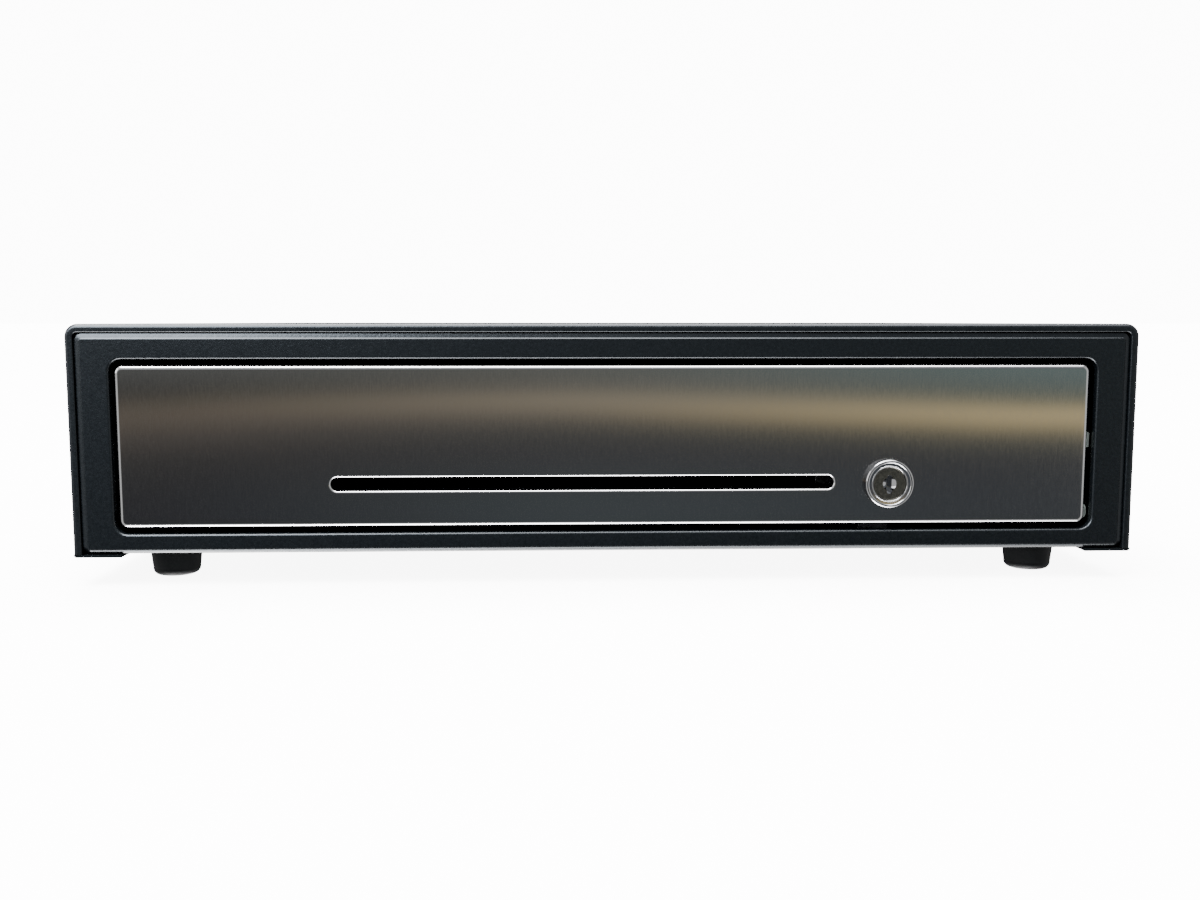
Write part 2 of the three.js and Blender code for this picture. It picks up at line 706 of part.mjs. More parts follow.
// ---------------------------------------------------------------- till
const tillInner = TILL.half - TILL.wall;
const tillFloor = TILL.low + TILL.wall;
const bay = (2 * tillInner - (BILLS - 1) * PARTITION) / BILLS;
const bayStart = (i) => -tillInner + i * (bay + PARTITION);
const SKIRT_FOOT = BOX_FLOOR + SHEET + GAP;
function tillTray() {
  const bills = Array.from({ length: BILLS }, (_, i) =>
    box(bayStart(i), bayStart(i) + bay, WELL_REAR + PARTITION, TILL.rear - TILL.wall, tillFloor, 100),
  );
  const well = box(-tillInner, tillInner, TILL.front + TILL.wall, WELL_REAR, tillFloor, 100);
  const below = box(-tillInner, tillInner, TILL.front - 1, TILL.rear + 1, 0, TILL.low);
  const notch = box(-tillInner, tillInner, CLIP.y - 2.4, CLIP.y + 2.4, CLIP.z - 2.4, 100);
  return cut(
    box(-TILL.half, TILL.half, TILL.front, TILL.rear, SKIRT_FOOT, TILL.high),
    ...bills,
    well,
    below,
    notch,
  );
}
add("till_tray", tillTray(), TILL_PLASTIC);

// The coin tray: two rows of four scooped cups.
const COINS = { columns: 4, rows: 2 };
function coinTray() {
  const half = tillInner - 0.4;
  const front = TILL.front + TILL.wall + 0.4;
  const rear = WELL_REAR - 0.4;
  const low = tillFloor + GAP;
  const wide = (2 * half - (COINS.columns + 1) * PARTITION) / COINS.columns;
  const radius = (rear - front - (COINS.rows + 1) * PARTITION) / COINS.rows / 2;
  const cups = [];
  for (let row = 0; row < COINS.rows; row++)
    for (let column = 0; column < COINS.columns; column++) {
      const x = -half + PARTITION + column * (wide + PARTITION);
      const y = front + PARTITION + radius + row * (2 * radius + PARTITION);
      cups.push(cylinder("x", y, TILL.high, x, x + wide, radius, 24));
    }
  return cut(box(-half, half, front, rear, low, TILL.high), ...cups);
}
add("coin_tray", coinTray(), TILL_PLASTIC);

const shaftHalf = tillInner - GAP;
add("clip_shaft", cylinder("x", CLIP.y, CLIP.z, -shaftHalf, shaftHalf, CLIP.shaft / 2, 12), ZINC);

// A bill clip: a hub on the shaft, a sloping arm and a wide foot with its toe turned up.
const CLIP_ARM = { half: 11, foot: 23, footStart: 46, hub: 15 };
function billClip(middle) {
  const profile = polygon([
    [2, 2.6],
    [-6, -0.4],
    [-50, -18.4],
    [-64, -19.8],
    [-70, -16.4],
    [-71, -17.6],
    [-64.4, -21.4],
    [-50, -20],
    [-6, -2.6],
    [2, -2.6],
  ].map(([y, z]) => [CLIP.y + y, CLIP.z + z]));
  const arm = alongX(profile, middle - CLIP_ARM.half, middle + CLIP_ARM.half);
  const foot = cut(
    alongX(profile, middle - CLIP_ARM.foot, middle + CLIP_ARM.foot),
    box(middle - 30, middle + 30, CLIP.y - CLIP_ARM.footStart, CLIP.y + 10, 0, 100),
  );
  const hub = cylinder("x", CLIP.y, CLIP.z, middle - CLIP_ARM.hub, middle + CLIP_ARM.hub, CLIP.shaft, 16);
  const bore = cylinder("x", CLIP.y, CLIP.z, middle - 20, middle + 20, PIN_HOLE, 16);
  return cut(union(arm, foot, hub), bore);
}
for (let i = 0; i < BILLS; i++) add(`bill_clip_${i + 1}`, billClip(bayStart(i) + bay / 2), TILL_PLASTIC);

// ---------------------------------------------------------------- latch
// The striker on the drawer's back wall: a tab with an upright pin.
const STRIKER = { x: HOOK.x + 14, y: HOOK.y - 18.5, half: 4, thick: 1.2, low: 26, top: 35.2, pin: 44 };
function striker() {
  const [x0, x1] = [STRIKER.x - STRIKER.half, STRIKER.x + STRIKER.half];
  const wall = BOX_REAR + GAP;
  return union(
    box(x0, x1, wall, STRIKER.y + STRIKER.half, STRIKER.top - STRIKER.thick, STRIKER.top),
    box(x0, x1, wall, wall + STRIKER.thick, STRIKER.low, STRIKER.top),
    cylinder("z", STRIKER.x, STRIKER.y, STRIKER.top - 0.2, STRIKER.pin, 2, 14),
  );
}
add("striker", striker(), ZINC);

// A bridge of folded sheet over the base plate, with a tongue that holds the spring's post.
const SPRING_POST = { x: HOOK.x - 12, y: 163, radius: 1.5, top: 41 };
function latchBracket() {
  const across = (x0, x1, z0, z1) => box(x0, x1, DECK.front, DECK.rear, z0, z1);
  const foot = 12;
  const tongue = 4;
  return cut(
    union(
      across(DECK.left, DECK.right, DECK.low, DECK.high),
      across(DECK.left, DECK.left + SHEET, JOGGLE, DECK.high),
      across(DECK.right - SHEET, DECK.right, JOGGLE, DECK.high),
      across(DECK.left - foot, DECK.left, JOGGLE, JOGGLE + SHEET),
      across(DECK.right, DECK.right + foot, JOGGLE, JOGGLE + SHEET),
      box(
        SPRING_POST.x - tongue,
        SPRING_POST.x + tongue,
        SPRING_POST.y - tongue,
        DECK.front,
        DECK.low,
        DECK.high,
      ),
      cylinder("z", SPRING_POST.x, SPRING_POST.y, DECK.low, SPRING_POST.top, SPRING_POST.radius, 12),
    ),
    cylinder("z", HOOK.x, HOOK.y, DECK.low - 1, DECK.high + 1, PIN_HOLE, 14),
  );
}
add("latch_bracket", latchBracket(), ZINC);

const PIVOT = { low: 24, neck: 42, top: 43.5, head: 3.6, collar: 3.4 };
add(
  "latch_pivot_pin",
  union(
    cylinder("z", HOOK.x, HOOK.y, PIVOT.low, PIVOT.neck, 2, 14),
    cylinder("z", HOOK.x, HOOK.y, PIVOT.neck, PIVOT.top, PIVOT.head, 14),
    cylinder("z", HOOK.x, HOOK.y, DECK.high + GAP, HOOK.z - GAP, PIVOT.collar, 14),
  ),
  ZINC,
);

// The hook is drawn latched, round its pivot, and shown released.
function latchHook() {
  const plate = alongZ(
    polygon([
      [4.5, 5],
      [4.5, 19],
      [-4.5, 19],
      [-4.5, 4],
      [-15, 3.5],
      [-15, -3.5],
      [-4.5, -4],
      [-2, -8],
      [1, -25],
      [18, -25],
      [18, -21],
      [8, -21],
      [6, -8],
      [7, 0],
    ]),
    0,
    HOOK.thick,
  );
  const fork = alongZ(roundedRect(-1.9, 1.9, 11.8, 17, 1.85), -1, HOOK.thick + 1, 4);
  return cut(plate, fork, cylinder("z", 0, 0, -1, HOOK.thick + 1, PIN_HOLE, 14));
}
const hookTurn = new THREE.Group();
hookTurn.position.set(HOOK.x, HOOK.y, HOOK.z);
hookTurn.rotation.z = THREE.MathUtils.degToRad(HOOK.open);
group.add(hookTurn);
add("latch_hook", latchHook(), ZINC, hookTurn);

const latchSpring = wire(new Helix(2.4, SPRING_POST.y + 3, HOOK.y - 2.4, 6), 0.4, 54, 5);
add("latch_spring", latchSpring.translate([SPRING_POST.x, 0, HOOK.z + 1]), ZINC);

// ---------------------------------------------------------------- solenoid
const pull = TAIL_ARM * THREE.MathUtils.degToRad(-HOOK.open); // the plunger's stroke
const alongSolenoid = (from, to, radius, segments = 20) =>
  cylinder("x", SOLENOID.y, SOLENOID.z, from, to, radius, segments);
const solenoidBore = alongSolenoid(SOLENOID.from - 1, SOLENOID.to - 3, SOLENOID.bore);
function solenoidFrame() {
  const rise = SOLENOID.z - DECK.high - GAP;
  const layer = (inset, beyond) =>
    box(
      SOLENOID.from + inset,
      SOLENOID.to - inset,
      SOLENOID.y - SOLENOID.half - beyond,
      SOLENOID.y + SOLENOID.half + beyond,
      SOLENOID.z - rise + inset,
      SOLENOID.z + rise - inset,
    );
  return cut(layer(0, 0), layer(SOLENOID.wall, 1), solenoidBore);
}
add("solenoid_frame", solenoidFrame(), ZINC);

const coilInset = SOLENOID.wall + GAP;
add(
  "solenoid_coil",
  cut(
    alongSolenoid(SOLENOID.from + coilInset, SOLENOID.to - coilInset, SOLENOID.coil, 24),
    solenoidBore,
  ),
  COIL_TAPE,
);

// The plunger's slotted nose straddles the hook's tail, which a cross pin moves.
function plunger() {
  const pin = HOOK.x + pull;
  const slit = HOOK.thick / 2 + 0.6;
  return union(
    cut(
      alongSolenoid(pin - 5, SOLENOID.from + 22, SOLENOID.core),
      box(pin - 6, pin + 8, SOLENOID.y - 6, SOLENOID.y + 6, SOLENOID.z - slit, SOLENOID.z + slit),
    ),
    cylinder("z", pin, SOLENOID.y, SOLENOID.z - 3, SOLENOID.z + 3, 1.5, 12),
  );
}
add("solenoid_plunger", plunger(), ZINC);

// ---------------------------------------------------------------- drawer-open switch
const SWITCH_BODY = { left: -2, right: 18, front: 192.3, rear: 199, top: 44 };
const TERMINALS = { places: [1, 12], thick: 1.2, rear: 203, low: 31, top: 35 };
const LEVER = { length: 20, thick: 0.5, low: 36, top: 41, pin: 0.7 };
add(
  "drawer_switch",
  union(
    box(
      SWITCH.x + SWITCH_BODY.left,
      SWITCH.x + SWITCH_BODY.right,
      SWITCH_BODY.front,
      SWITCH_BODY.rear,
      DECK.high + GAP,
      SWITCH_BODY.top,
    ),
    ...TERMINALS.places.map((along) =>
      box(
        SWITCH.x + along,
        SWITCH.x + along + TERMINALS.thick,
        SWITCH_BODY.rear,
        TERMINALS.rear,
        TERMINALS.low,
        TERMINALS.top,
      ),
    ),
  ),
  TILL_PLASTIC,
);
add(
  "switch_lever",
  union(
    box(
      SWITCH.x,
      SWITCH.x + LEVER.length,
      SWITCH.y - LEVER.thick / 2,
      SWITCH.y + LEVER.thick / 2,
      LEVER.low,
      LEVER.top,
    ),
    cylinder("z", SWITCH.x, SWITCH.y, LEVER.low - 0.5, LEVER.top + 0.5, LEVER.pin, 10),
  ),
  ZINC,
);

// ---------------------------------------------------------------- ejector
// A spring round a fixed post pushes a hollow cap against the drawer's back.
const POST = { flange: 205, wide: 10, tip: 165, radius: 3 };
const CAP = { rim: 8, back: 153, tube: 4.8, bore: 3.4, end: 185 };
const alongEjector = (from, to, radius, segments = 16) =>
  cylinder("y", EJECTOR.x, EJECTOR.z, from, to, radius, segments);
add(
  "eject_guide",
  union(
    alongEjector(POST.flange, CASE_REAR, POST.wide, 20),
    alongEjector(POST.tip, POST.flange, POST.radius, 14),
  ),
  NYLON,
);
add(
  "eject_cap",
  cut(
    union(
      alongEjector(BOX_REAR + 0.4, CAP.back, CAP.rim, 20),
      alongEjector(CAP.back - 0.1, CAP.end, CAP.tube),
    ),
    alongEjector(CAP.back + 0.4, CAP.end + 5, CAP.bore),
  ),
  TILL_PLASTIC,
);
const ejectCoil = new Helix(6.4, CAP.back + 1.2, POST.flange - 0.8, 8);
add("eject_spring", wire(ejectCoil, 0.6, 88, 5).translate([EJECTOR.x, 0, EJECTOR.z]), ZINC);

// ---------------------------------------------------------------- signal socket and its lead
function signalJack() {
  const face = REAR_PANEL + SHEET + 0.2;
  const rim = 1.5;
  const block = (wide, high, y0, y1) =>
    box(JACK.x - wide, JACK.x + wide, y0, y1, JACK.z - high, JACK.z + high);
  const mouth = 197; // the plug's opening starts here and runs out through the rim
  return cut(
    union(
      block(JACK.half, JACK.high, JACK.front, face),
      block(JACK.half + rim, JACK.high + rim, face, face + 1),
    ),
    block(5, 3.6, mouth, face + 2),
    box(JACK.x - 1.8, JACK.x + 1.8, mouth, face + 2, JACK.z + 3, JACK.z + 5.2),
  );
}
add("signal_jack", signalJack(), TILL_PLASTIC);

// The lead from the socket along the base plate to the switch's terminals.
const LEAD_RADIUS = 1.5;
const leadRoute = [
  [JACK.x, 191.6, JACK.z],
  [JACK.x + 0.5, 187, 30.5],
  [JACK.x + 4, 184, 22],
  [JACK.x + 12, 186, 16.4],
  [JACK.x + 30, 190, 15.6],
  [-60, 189, 15.6],
  [-30, 187, 15.6],
  [0, 189, 15.6],
  [12, 193, 17],
  [19, 197, 24],
  [26, 199.5, 33],
  [34, 201, 37.5],
  [42, 201, 38],
];
add(
  "signal_lead",
  wire(new THREE.CatmullRomCurve3(leadRoute.map((p) => new THREE.Vector3(...p))), LEAD_RADIUS, 48, 8),
  LEAD_JACKET,
);

export default group;
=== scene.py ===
import json
import math

import bmesh
import bpy
from mathutils import Matrix, Vector

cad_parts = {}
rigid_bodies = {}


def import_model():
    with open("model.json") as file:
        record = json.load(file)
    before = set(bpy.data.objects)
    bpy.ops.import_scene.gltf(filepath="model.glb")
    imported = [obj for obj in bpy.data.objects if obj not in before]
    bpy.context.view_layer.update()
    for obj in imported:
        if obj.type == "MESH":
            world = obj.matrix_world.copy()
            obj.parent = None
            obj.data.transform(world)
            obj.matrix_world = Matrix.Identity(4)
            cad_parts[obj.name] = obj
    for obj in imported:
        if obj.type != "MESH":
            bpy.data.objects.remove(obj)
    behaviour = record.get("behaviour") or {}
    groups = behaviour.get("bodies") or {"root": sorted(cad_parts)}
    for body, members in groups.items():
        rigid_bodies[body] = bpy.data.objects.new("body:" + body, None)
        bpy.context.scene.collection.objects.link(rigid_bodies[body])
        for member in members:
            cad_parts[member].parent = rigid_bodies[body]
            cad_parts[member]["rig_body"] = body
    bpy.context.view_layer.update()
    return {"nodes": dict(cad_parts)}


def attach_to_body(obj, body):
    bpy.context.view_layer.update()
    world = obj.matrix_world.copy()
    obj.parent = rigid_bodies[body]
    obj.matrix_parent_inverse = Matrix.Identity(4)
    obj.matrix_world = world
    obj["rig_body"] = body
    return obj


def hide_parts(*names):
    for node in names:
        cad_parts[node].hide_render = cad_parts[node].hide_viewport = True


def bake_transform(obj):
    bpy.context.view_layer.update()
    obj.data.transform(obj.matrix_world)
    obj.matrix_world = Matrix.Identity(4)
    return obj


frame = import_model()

# A point-of-sale cash drawer. Lengths are in millimetres until a mesh is made; the frame is the
# CAD model's: +X right, +Y back, +Z up, origin under the middle of the case on the counter.
MM = 0.001

# ---------------- dimensions, as in the CAD model
SHEET = 1.0
CASE_HALF, CASE_TOP, CASE_LOW = 205.0, 100.0, 11.0
CASE_FRONT, CASE_REAR = -206.0, 206.6
CASE_BEND = 5.0
COVER_FLANGE = 18.0
HEM, HEM_DEPTH, HEM_INNER_BEND = 3.2, 9.0, 0.5
COVER_FOLD, COVER_REAR_FOLD = 1.2, 0.8
FLOOR = 12.2
FRAME_FACE, FRAME_HALF, FRAME_TOP = -205.7, 201.5, 96.5
FRAME_BACK, SOLE_BACK = -196.2, -192.4
FRAME_SLOPE, FRAME_LOWER_BEND = 2.3, 2.6
LIP_DEPTH, LIP_BEND = 3.0, 1.0
OPENING = (-189.0, 189.0, 20.0, 86.6, 4.7)
PANEL_FACE, PANEL_DEPTH, PANEL_BEND = -206.2, 5.5, 1.7
PANEL = (-187.0, 186.0, 22.4, 84.4, 3.0)
SLOT = (-106.8, 86.8, 36.4, 41.4)
SLOT_ROLL = 0.9
LOCK_X, LOCK_Z, LOCK_FACE = 108.0, 38.5, -209.5
REAR_PANEL = 206.9
JACK_X, JACK_Z = -120.0, 32.0
REAR_SCREWS = [(sx * 120.0, z) for z in (93.5, 18.5) for sx in (-1, 1)]
FEET = [(sx * 173.7, sy * 181.0) for sy in (-1, 1) for sx in (-1, 1)]
SLIDE_Z, BOX_HALF = 40.4, 179.2
TILL_HALF, TILL_FRONT, TILL_REAR = 175.7, -168.0, 146.0
TILL_LOW, TILL_HIGH, TILL_WALL, SKIRT_FOOT = 44.0, 79.0, 2.0, 23.8
WELL_REAR, PARTITION, BILLS = -38.0, 2.0, 5
CLIP_Y, CLIP_Z = 136.0, 68.0
HOOK = Vector((78.0, 182.0, 38.0))
SPRING_POST = (66.0, 39.0)  # in X and Z
SOLENOID_Y, SOLENOID_Z = 196.0, 39.0
EJECT_X, EJECT_Z = -40.0, 45.0
COIN_ROWS, COIN_COLUMNS = 2, 4
# Radiance of the white floor, of what its own lamp adds, and of the sweep behind it.
FLOOR_GLOW, FLOOR_LIGHT, SWEEP_GLOW = 8.0, 2.0, 12.5


# ---------------- outlines
def arc(centre, radius, start, end, steps=8):
    """Points on an arc, in degrees anticlockwise from +X, both ends included."""
    angles = (math.radians(start + (end - start) * i / steps) for i in range(steps + 1))
    return [(centre[0] + radius * math.cos(a), centre[1] + radius * math.sin(a)) for a in angles]


def rounded(x0, x1, z0, z1, radius, steps=8):
    """A rectangle with round corners, anticlockwise from its lower right corner."""
    left, right, low, high = x0 + radius, x1 - radius, z0 + radius, z1 - radius
    corners = [(right, low), (right, high), (left, high), (left, low)]
    return [p for i, corner in enumerate(corners)
            for p in arc(corner, radius, 90 * i - 90, 90 * i, steps)]


def grown(rect, by, steps=8):
    """A rounded rectangle (x0, x1, z0, z1, radius) moved outwards by a distance."""
    x0, x1, z0, z1, r = rect
    return rounded(x0 - by, x1 + by, z0 - by, z1 + by, max(r + by, 0.05), steps)


def circle(centre, radius, steps=48):
    return arc(centre, radius, 0, 360 - 360 / steps, steps - 1)


def at_y(outline, y):
    return [(a, y, b) for a, b in outline]


def at_z(outline, z):
    return [(a, b, z) for a, b in outline]


# ---------------- pieces
def placed(name, data):
    """A new object in the scene."""
    made = bpy.data.objects.new(name, data)
    bpy.context.scene.collection.objects.link(made)
    return made


def solid(name, bm):
    """A new object from a bmesh, which it uses up."""
    mesh = bpy.data.meshes.new(name)
    bm.to_mesh(mesh)
    bm.free()
    return placed(name, mesh)


class Shape:
    """Gathers faces in millimetres, then becomes one piece."""

    def __init__(self):
        self.bm = bmesh.new()

    def points(self, loop):
        return [self.bm.verts.new(Vector(p) * MM) for p in loop]

    def skin(self, loops, ring=True, caps=False):
        """Faces between each loop and the next. A ring joins each loop's end to its start."""
        rows = [self.points(loop) for loop in loops]
        count = len(rows[0])
        for a, b in zip(rows, rows[1:]):
            for i in range(count if ring else count - 1):
                j = (i + 1) % count
                self.bm.faces.new((a[i], a[j], b[j], b[i]))
        if caps:
            self.bm.faces.new(rows[0][::-1])
            self.bm.faces.new(rows[-1])
        return self

    def flat(self, outer, holes=()):
        """A flat face with holes."""
        edges = []
        for loop in (outer, *holes):
            row = self.points(loop)
            edges += [self.bm.edges.new((row[i - 1], row[i])) for i in range(len(row))]
        bmesh.ops.triangle_fill(self.bm, use_beauty=True, edges=edges)
        return self

    def block(self, x0, x1, y0, y1, z0, z1):
        corners = [(x0, y0), (x1, y0), (x1, y1), (x0, y1)]
        return self.skin([at_z(corners, z0), at_z(corners, z1)], caps=True)

    def turned(self, profile, place, steps=48):
        """A profile of (radius, height) points turned about the Z axis and moved by a matrix."""
        return self.skin([[place @ Vector((*p, z)) for p in circle((0, 0), max(r, 0.001), steps)]
                          for r, z in profile])

    def tube(self, path, radius, sides=10):
        """A round wire along points, with flat ends."""
        path = [Vector(p) for p in path]
        loops, across = [], None
        for i, point in enumerate(path):
            ahead = path[min(i + 1, len(path) - 1)] - path[max(i - 1, 0)]
            ahead.normalize()
            if across is None:
                across = ahead.orthogonal().normalized()
            across = (across - ahead * across.dot(ahead)).normalized()
            other = ahead.cross(across)
            loops.append([point + across * a + other * b for a, b in circle((0, 0), radius, sides)])
        return self.skin(loops, caps=True)

    def ball(self, centre, radius):
        place = Matrix.Translation(Vector(centre) * MM)
        bmesh.ops.create_icosphere(self.bm, subdivisions=3, radius=radius * MM, matrix=place)
        return self

    def piece(self, name, material, body, nodes=(), facing=None, sheet=0.0, bevel=0.0, smooth=35):
        """Welds the faces, gives a skin its thickness, rounds sharp edges and names the result.

        facing is a direction that an open skin's outer side looks in; the sheet grows away from it."""
        bmesh.ops.remove_doubles(self.bm, verts=self.bm.verts, dist=0.001 * MM)
        bmesh.ops.dissolve_degenerate(self.bm, edges=self.bm.edges, dist=0.001 * MM)
        bmesh.ops.recalc_face_normals(self.bm, faces=self.bm.faces)
        if facing:
            seen = sum((f.normal * f.calc_area() for f in self.bm.faces), Vector())
            if seen.dot(Vector(facing)) < 0:
                bmesh.ops.reverse_faces(self.bm, faces=self.bm.faces)
        made = solid(name, self.bm)
        if sheet:
            thicken = made.modifiers.new("sheet", "SOLIDIFY")
            thicken.thickness = sheet * MM
            thicken.offset = -1
            thicken.use_even_offset = True
        if bevel:
            soften(made, bevel)
        settle(made, smooth)
        return attach(made, material, body, nodes)


def soften(made, width, angle=38):
    edge = made.modifiers.new("edge", "BEVEL")
    edge.width = width * MM
    edge.segments = 2
    edge.limit_method = "ANGLE"
    edge.angle_limit = math.radians(angle)


def apply_modifiers(made):
    shape = made.evaluated_get(bpy.context.evaluated_depsgraph_get())
    made.data = bpy.data.meshes.new_from_object(shape)
    made.modifiers.clear()


def settle(made, smooth=35):
    """Applies the modifiers and shades smooth up to an angle, with flat faces kept flat."""
    apply_modifiers(made)
    made.data.polygons.foreach_set("use_smooth", [True] * len(made.data.polygons))
    made.data.set_sharp_from_angle(angle=math.radians(smooth))
    even = made.modifiers.new("even", "WEIGHTED_NORMAL")
    even.mode = "FACE_AREA"
    even.weight = 50
    even.keep_sharp = True
    apply_modifiers(made)


def attach(made, material, body, nodes=()):
    """Gives a piece its material and its body; a spring's two bodies and two points are not used, and it
    rides no body.
    """
    made.data.materials.clear()
    made.data.materials.append(MATERIALS[material])
    if isinstance(body, tuple):
        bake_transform(made)
    else:
        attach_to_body(made, body)
    if nodes:
        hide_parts(*nodes)
    return made


def refine(node, material, bevel=0.3, smooth=35):
    """A CAD node's own shape with clean flats and rounded edges."""
    source = frame["nodes"][node]
    bm = bmesh.new()
    bm.from_mesh(source.data)
    bmesh.ops.remove_doubles(bm, verts=bm.verts, dist=0.002 * MM)
    bmesh.ops.dissolve_limit(bm, angle_limit=math.radians(1), verts=bm.verts, edges=bm.edges)
    made = solid(node + "_finished", bm)
    soften(made, bevel)
    settle(made, smooth)
    return attach(made, material, source["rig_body"], (node,))


# ---------------- materials
class Tree:
    """A shader tree, with the nodes that both the materials and the world need."""

    def __init__(self, owner):
        owner.use_nodes = True
        self.nodes = owner.node_tree.nodes
        self.node, self.link = self.nodes.new, owner.node_tree.links.new

    def feed(self, socket, value):
        """Gives a socket a number or a colour, or links a node's output to it."""
        if isinstance(value, (int, float)):
            socket.default_value = value
        elif isinstance(value, tuple):
            socket.default_value = (*value, 1)
        else:
            self.link(value, socket)

    def scaled(self, value, low, high, out_low=0.0, out_high=1.0):
        """Maps a range onto another, and stops at its ends."""
        node = self.node("ShaderNodeMapRange")
        for socket, number in zip(("Value", "From Min", "From Max", "To Min", "To Max"),
                                  (value, low, high, out_low, out_high)):
            self.feed(node.inputs[socket], number)
        return node.outputs["Result"]

    def mix(self, factor, first, second, kind="MIX"):
        node = self.node("ShaderNodeMix")
        node.data_type = "RGBA"
        node.blend_type = kind
        for socket, value in (("Factor", factor), ("A", first), ("B", second)):
            self.feed(node.inputs[socket], value)
        return node.outputs["Result"]


class Paint(Tree):
    """One Principled material and the nodes that feed it."""

    def __init__(self, name, color, roughness, metallic=0.0, **constants):
        self.name, self.color, self.roughness = name, color, roughness
        self.material = bpy.data.materials.new("look_" + name)
        super().__init__(self.material)
        self.shader = self.nodes["Principled BSDF"]
        self.base = self.shader.inputs["Base Color"]
        constants.update(Base_Color=(*color, 1), Roughness=roughness, Metallic=metallic)
        for socket, value in constants.items():
            self.shader.inputs[socket.replace("_", " ")].default_value = value
        coordinates = self.node("ShaderNodeTexCoord")
        self.place, self.normal = coordinates.outputs["Object"], coordinates.outputs["Normal"]

    def noise(self, scale, detail, stretch=(1, 1, 1)):
        """Noise whose scale is in features per metre, stretched along the axes.

        The methods below take all three as one tuple."""
        mapping = self.node("ShaderNodeMapping")
        mapping.inputs["Scale"].default_value = stretch
        self.link(self.place, mapping.inputs["Vector"])
        node = self.node("ShaderNodeTexNoise")
        node.inputs["Scale"].default_value = scale
        node.inputs["Detail"].default_value = detail
        self.link(mapping.outputs["Vector"], node.inputs["Vector"])
        return node.outputs["Fac"]

    def spread(self, noise, low, high):
        """Maps the middle of a noise onto a range."""
        return self.scaled(self.noise(*noise), 0.3, 0.7, low, high)

    def vary_color(self, noise, other):
        self.link(self.mix(self.spread(noise, 0, 1), self.color, other), self.base)
        return self

    def paint_fold_highlights(self, highlight):
        """Turns the colour to a brighter one wherever the surface leaves the front plane: a painted
        highlight on the folds.
        """
        facing = self.node("ShaderNodeSeparateXYZ")
        self.link(self.normal, facing.inputs["Vector"])
        fold = self.scaled(facing.outputs["Y"], -0.998, -0.985)
        self.link(self.mix(fold, self.base.links[0].from_socket, highlight), self.base)

    def vary_roughness(self, noise, by):
        rough = self.spread(noise, self.roughness - by, self.roughness + by)
        self.link(rough, self.shader.inputs["Roughness"])
        return self

    def bump(self, noise, height, strength=1.0):
        """Relief of a height in millimetres."""
        node = self.node("ShaderNodeBump")
        node.inputs["Strength"].default_value = strength
        node.inputs["Distance"].default_value = height * MM
        self.link(self.noise(*noise), node.inputs["Height"])
        last = self.shader.inputs["Normal"]
        if last.links:
            self.link(last.links[0].from_socket, node.inputs["Normal"])
        self.link(node.outputs["Normal"], last)
        return self


def powder_coat():
    paint = Paint("powder_coat", (0.0016, 0.0023, 0.003), 0.27, Specular_IOR_Level=0.5,
                  Specular_Tint=(0.88, 0.94, 1.0, 1.0))
    paint.vary_color((900, 2), (0.0038, 0.0049, 0.006))
    paint.vary_roughness((400, 2), 0.015)
    return paint.bump((900, 2), 0.04).bump((2400, 1), 0.014, 0.6)


def brushed_stainless():
    """Vertical grain on the face; the folded edges get a brighter colour, a painted highlight on their
    edge lines.
    """
    paint = Paint("brushed_stainless", (0.47, 0.465, 0.455), 0.11, 1.0, Anisotropic=0.97)
    grain = (1, 2, (2600, 400, 420))
    paint.vary_color(grain, (0.50, 0.495, 0.485))
    # painted highlight: the folds' colour is raised so that their edge lines shine brighter
    paint.paint_fold_highlights((0.75, 0.75, 0.75))
    paint.vary_roughness(grain, 0.012)
    return paint.bump(grain, 0.0004)


def chrome():
    paint = Paint("chrome", (0.62, 0.62, 0.63), 0.07, 1.0)
    paint.vary_roughness((900, 3), 0.03)
    return paint.bump((260, 2), 0.001)


def satin_plug():
    """The lock plug's dull, finely pitted face."""
    paint = Paint("satin_plug", (0.09, 0.089, 0.078), 0.36, 1.0)
    paint.vary_color((2200, 3), (0.24, 0.236, 0.205))
    paint.vary_roughness((1500, 2), 0.08)
    return paint.bump((2600, 2), 0.006)


def zinc():
    paint = Paint("zinc_plate", (0.5, 0.52, 0.54), 0.3, 1.0)
    paint.vary_color((140, 5), (0.6, 0.61, 0.6))
    paint.vary_roughness((220, 4), 0.08)
    return paint.bump((700, 3, (1, 0.06, 1)), 0.008)


# painted shade: a near-black colour for the outer slide members, which stand in the shaded gaps beside the
# drawer front
def painted_shade_zinc():
    paint = Paint("painted_shade_zinc", (0.02, 0.021, 0.023), 0.36, 1.0)
    paint.vary_color((150, 4), (0.032, 0.032, 0.034))
    paint.vary_roughness((220, 4), 0.06)
    return paint.bump((700, 3, (1, 0.06, 1)), 0.008)


def rubber():
    paint = Paint("foot_rubber", (0.003, 0.0038, 0.0048), 0.6, Specular_IOR_Level=0.25)
    paint.vary_color((180, 4), (0.0048, 0.0056, 0.007))
    paint.vary_roughness((120, 3), 0.08)
    return paint.bump((2400, 3), 0.03)


def abs_plastic():
    paint = Paint("black_abs", (0.009, 0.0092, 0.0098), 0.42, Specular_IOR_Level=0.22)
    paint.vary_color((25, 4), (0.016, 0.0162, 0.0165))
    paint.vary_roughness((45, 4), 0.06)
    return paint.bump((1800, 2), 0.02)


def nylon():
    paint = Paint("white_nylon", (0.62, 0.63, 0.58), 0.42, Subsurface_Weight=0.1)
    paint.shader.inputs["Subsurface Radius"].default_value = (0.001, 0.001, 0.001)
    paint.vary_color((90, 3), (0.56, 0.57, 0.53))
    return paint.bump((900, 2), 0.01)


def bumper():
    paint = Paint("slide_bumper", (0.2, 0.23, 0.21), 0.5)
    paint.vary_color((150, 3), (0.28, 0.32, 0.3))
    return paint.bump((1200, 2), 0.01)


def coil_tape():
    paint = Paint("coil_tape", (0.01, 0.035, 0.2), 0.3)
    paint.vary_color((1, 3, (700, 8, 8)), (0.016, 0.05, 0.26))
    return paint.bump((1, 2, (900, 4, 4)), 0.03)


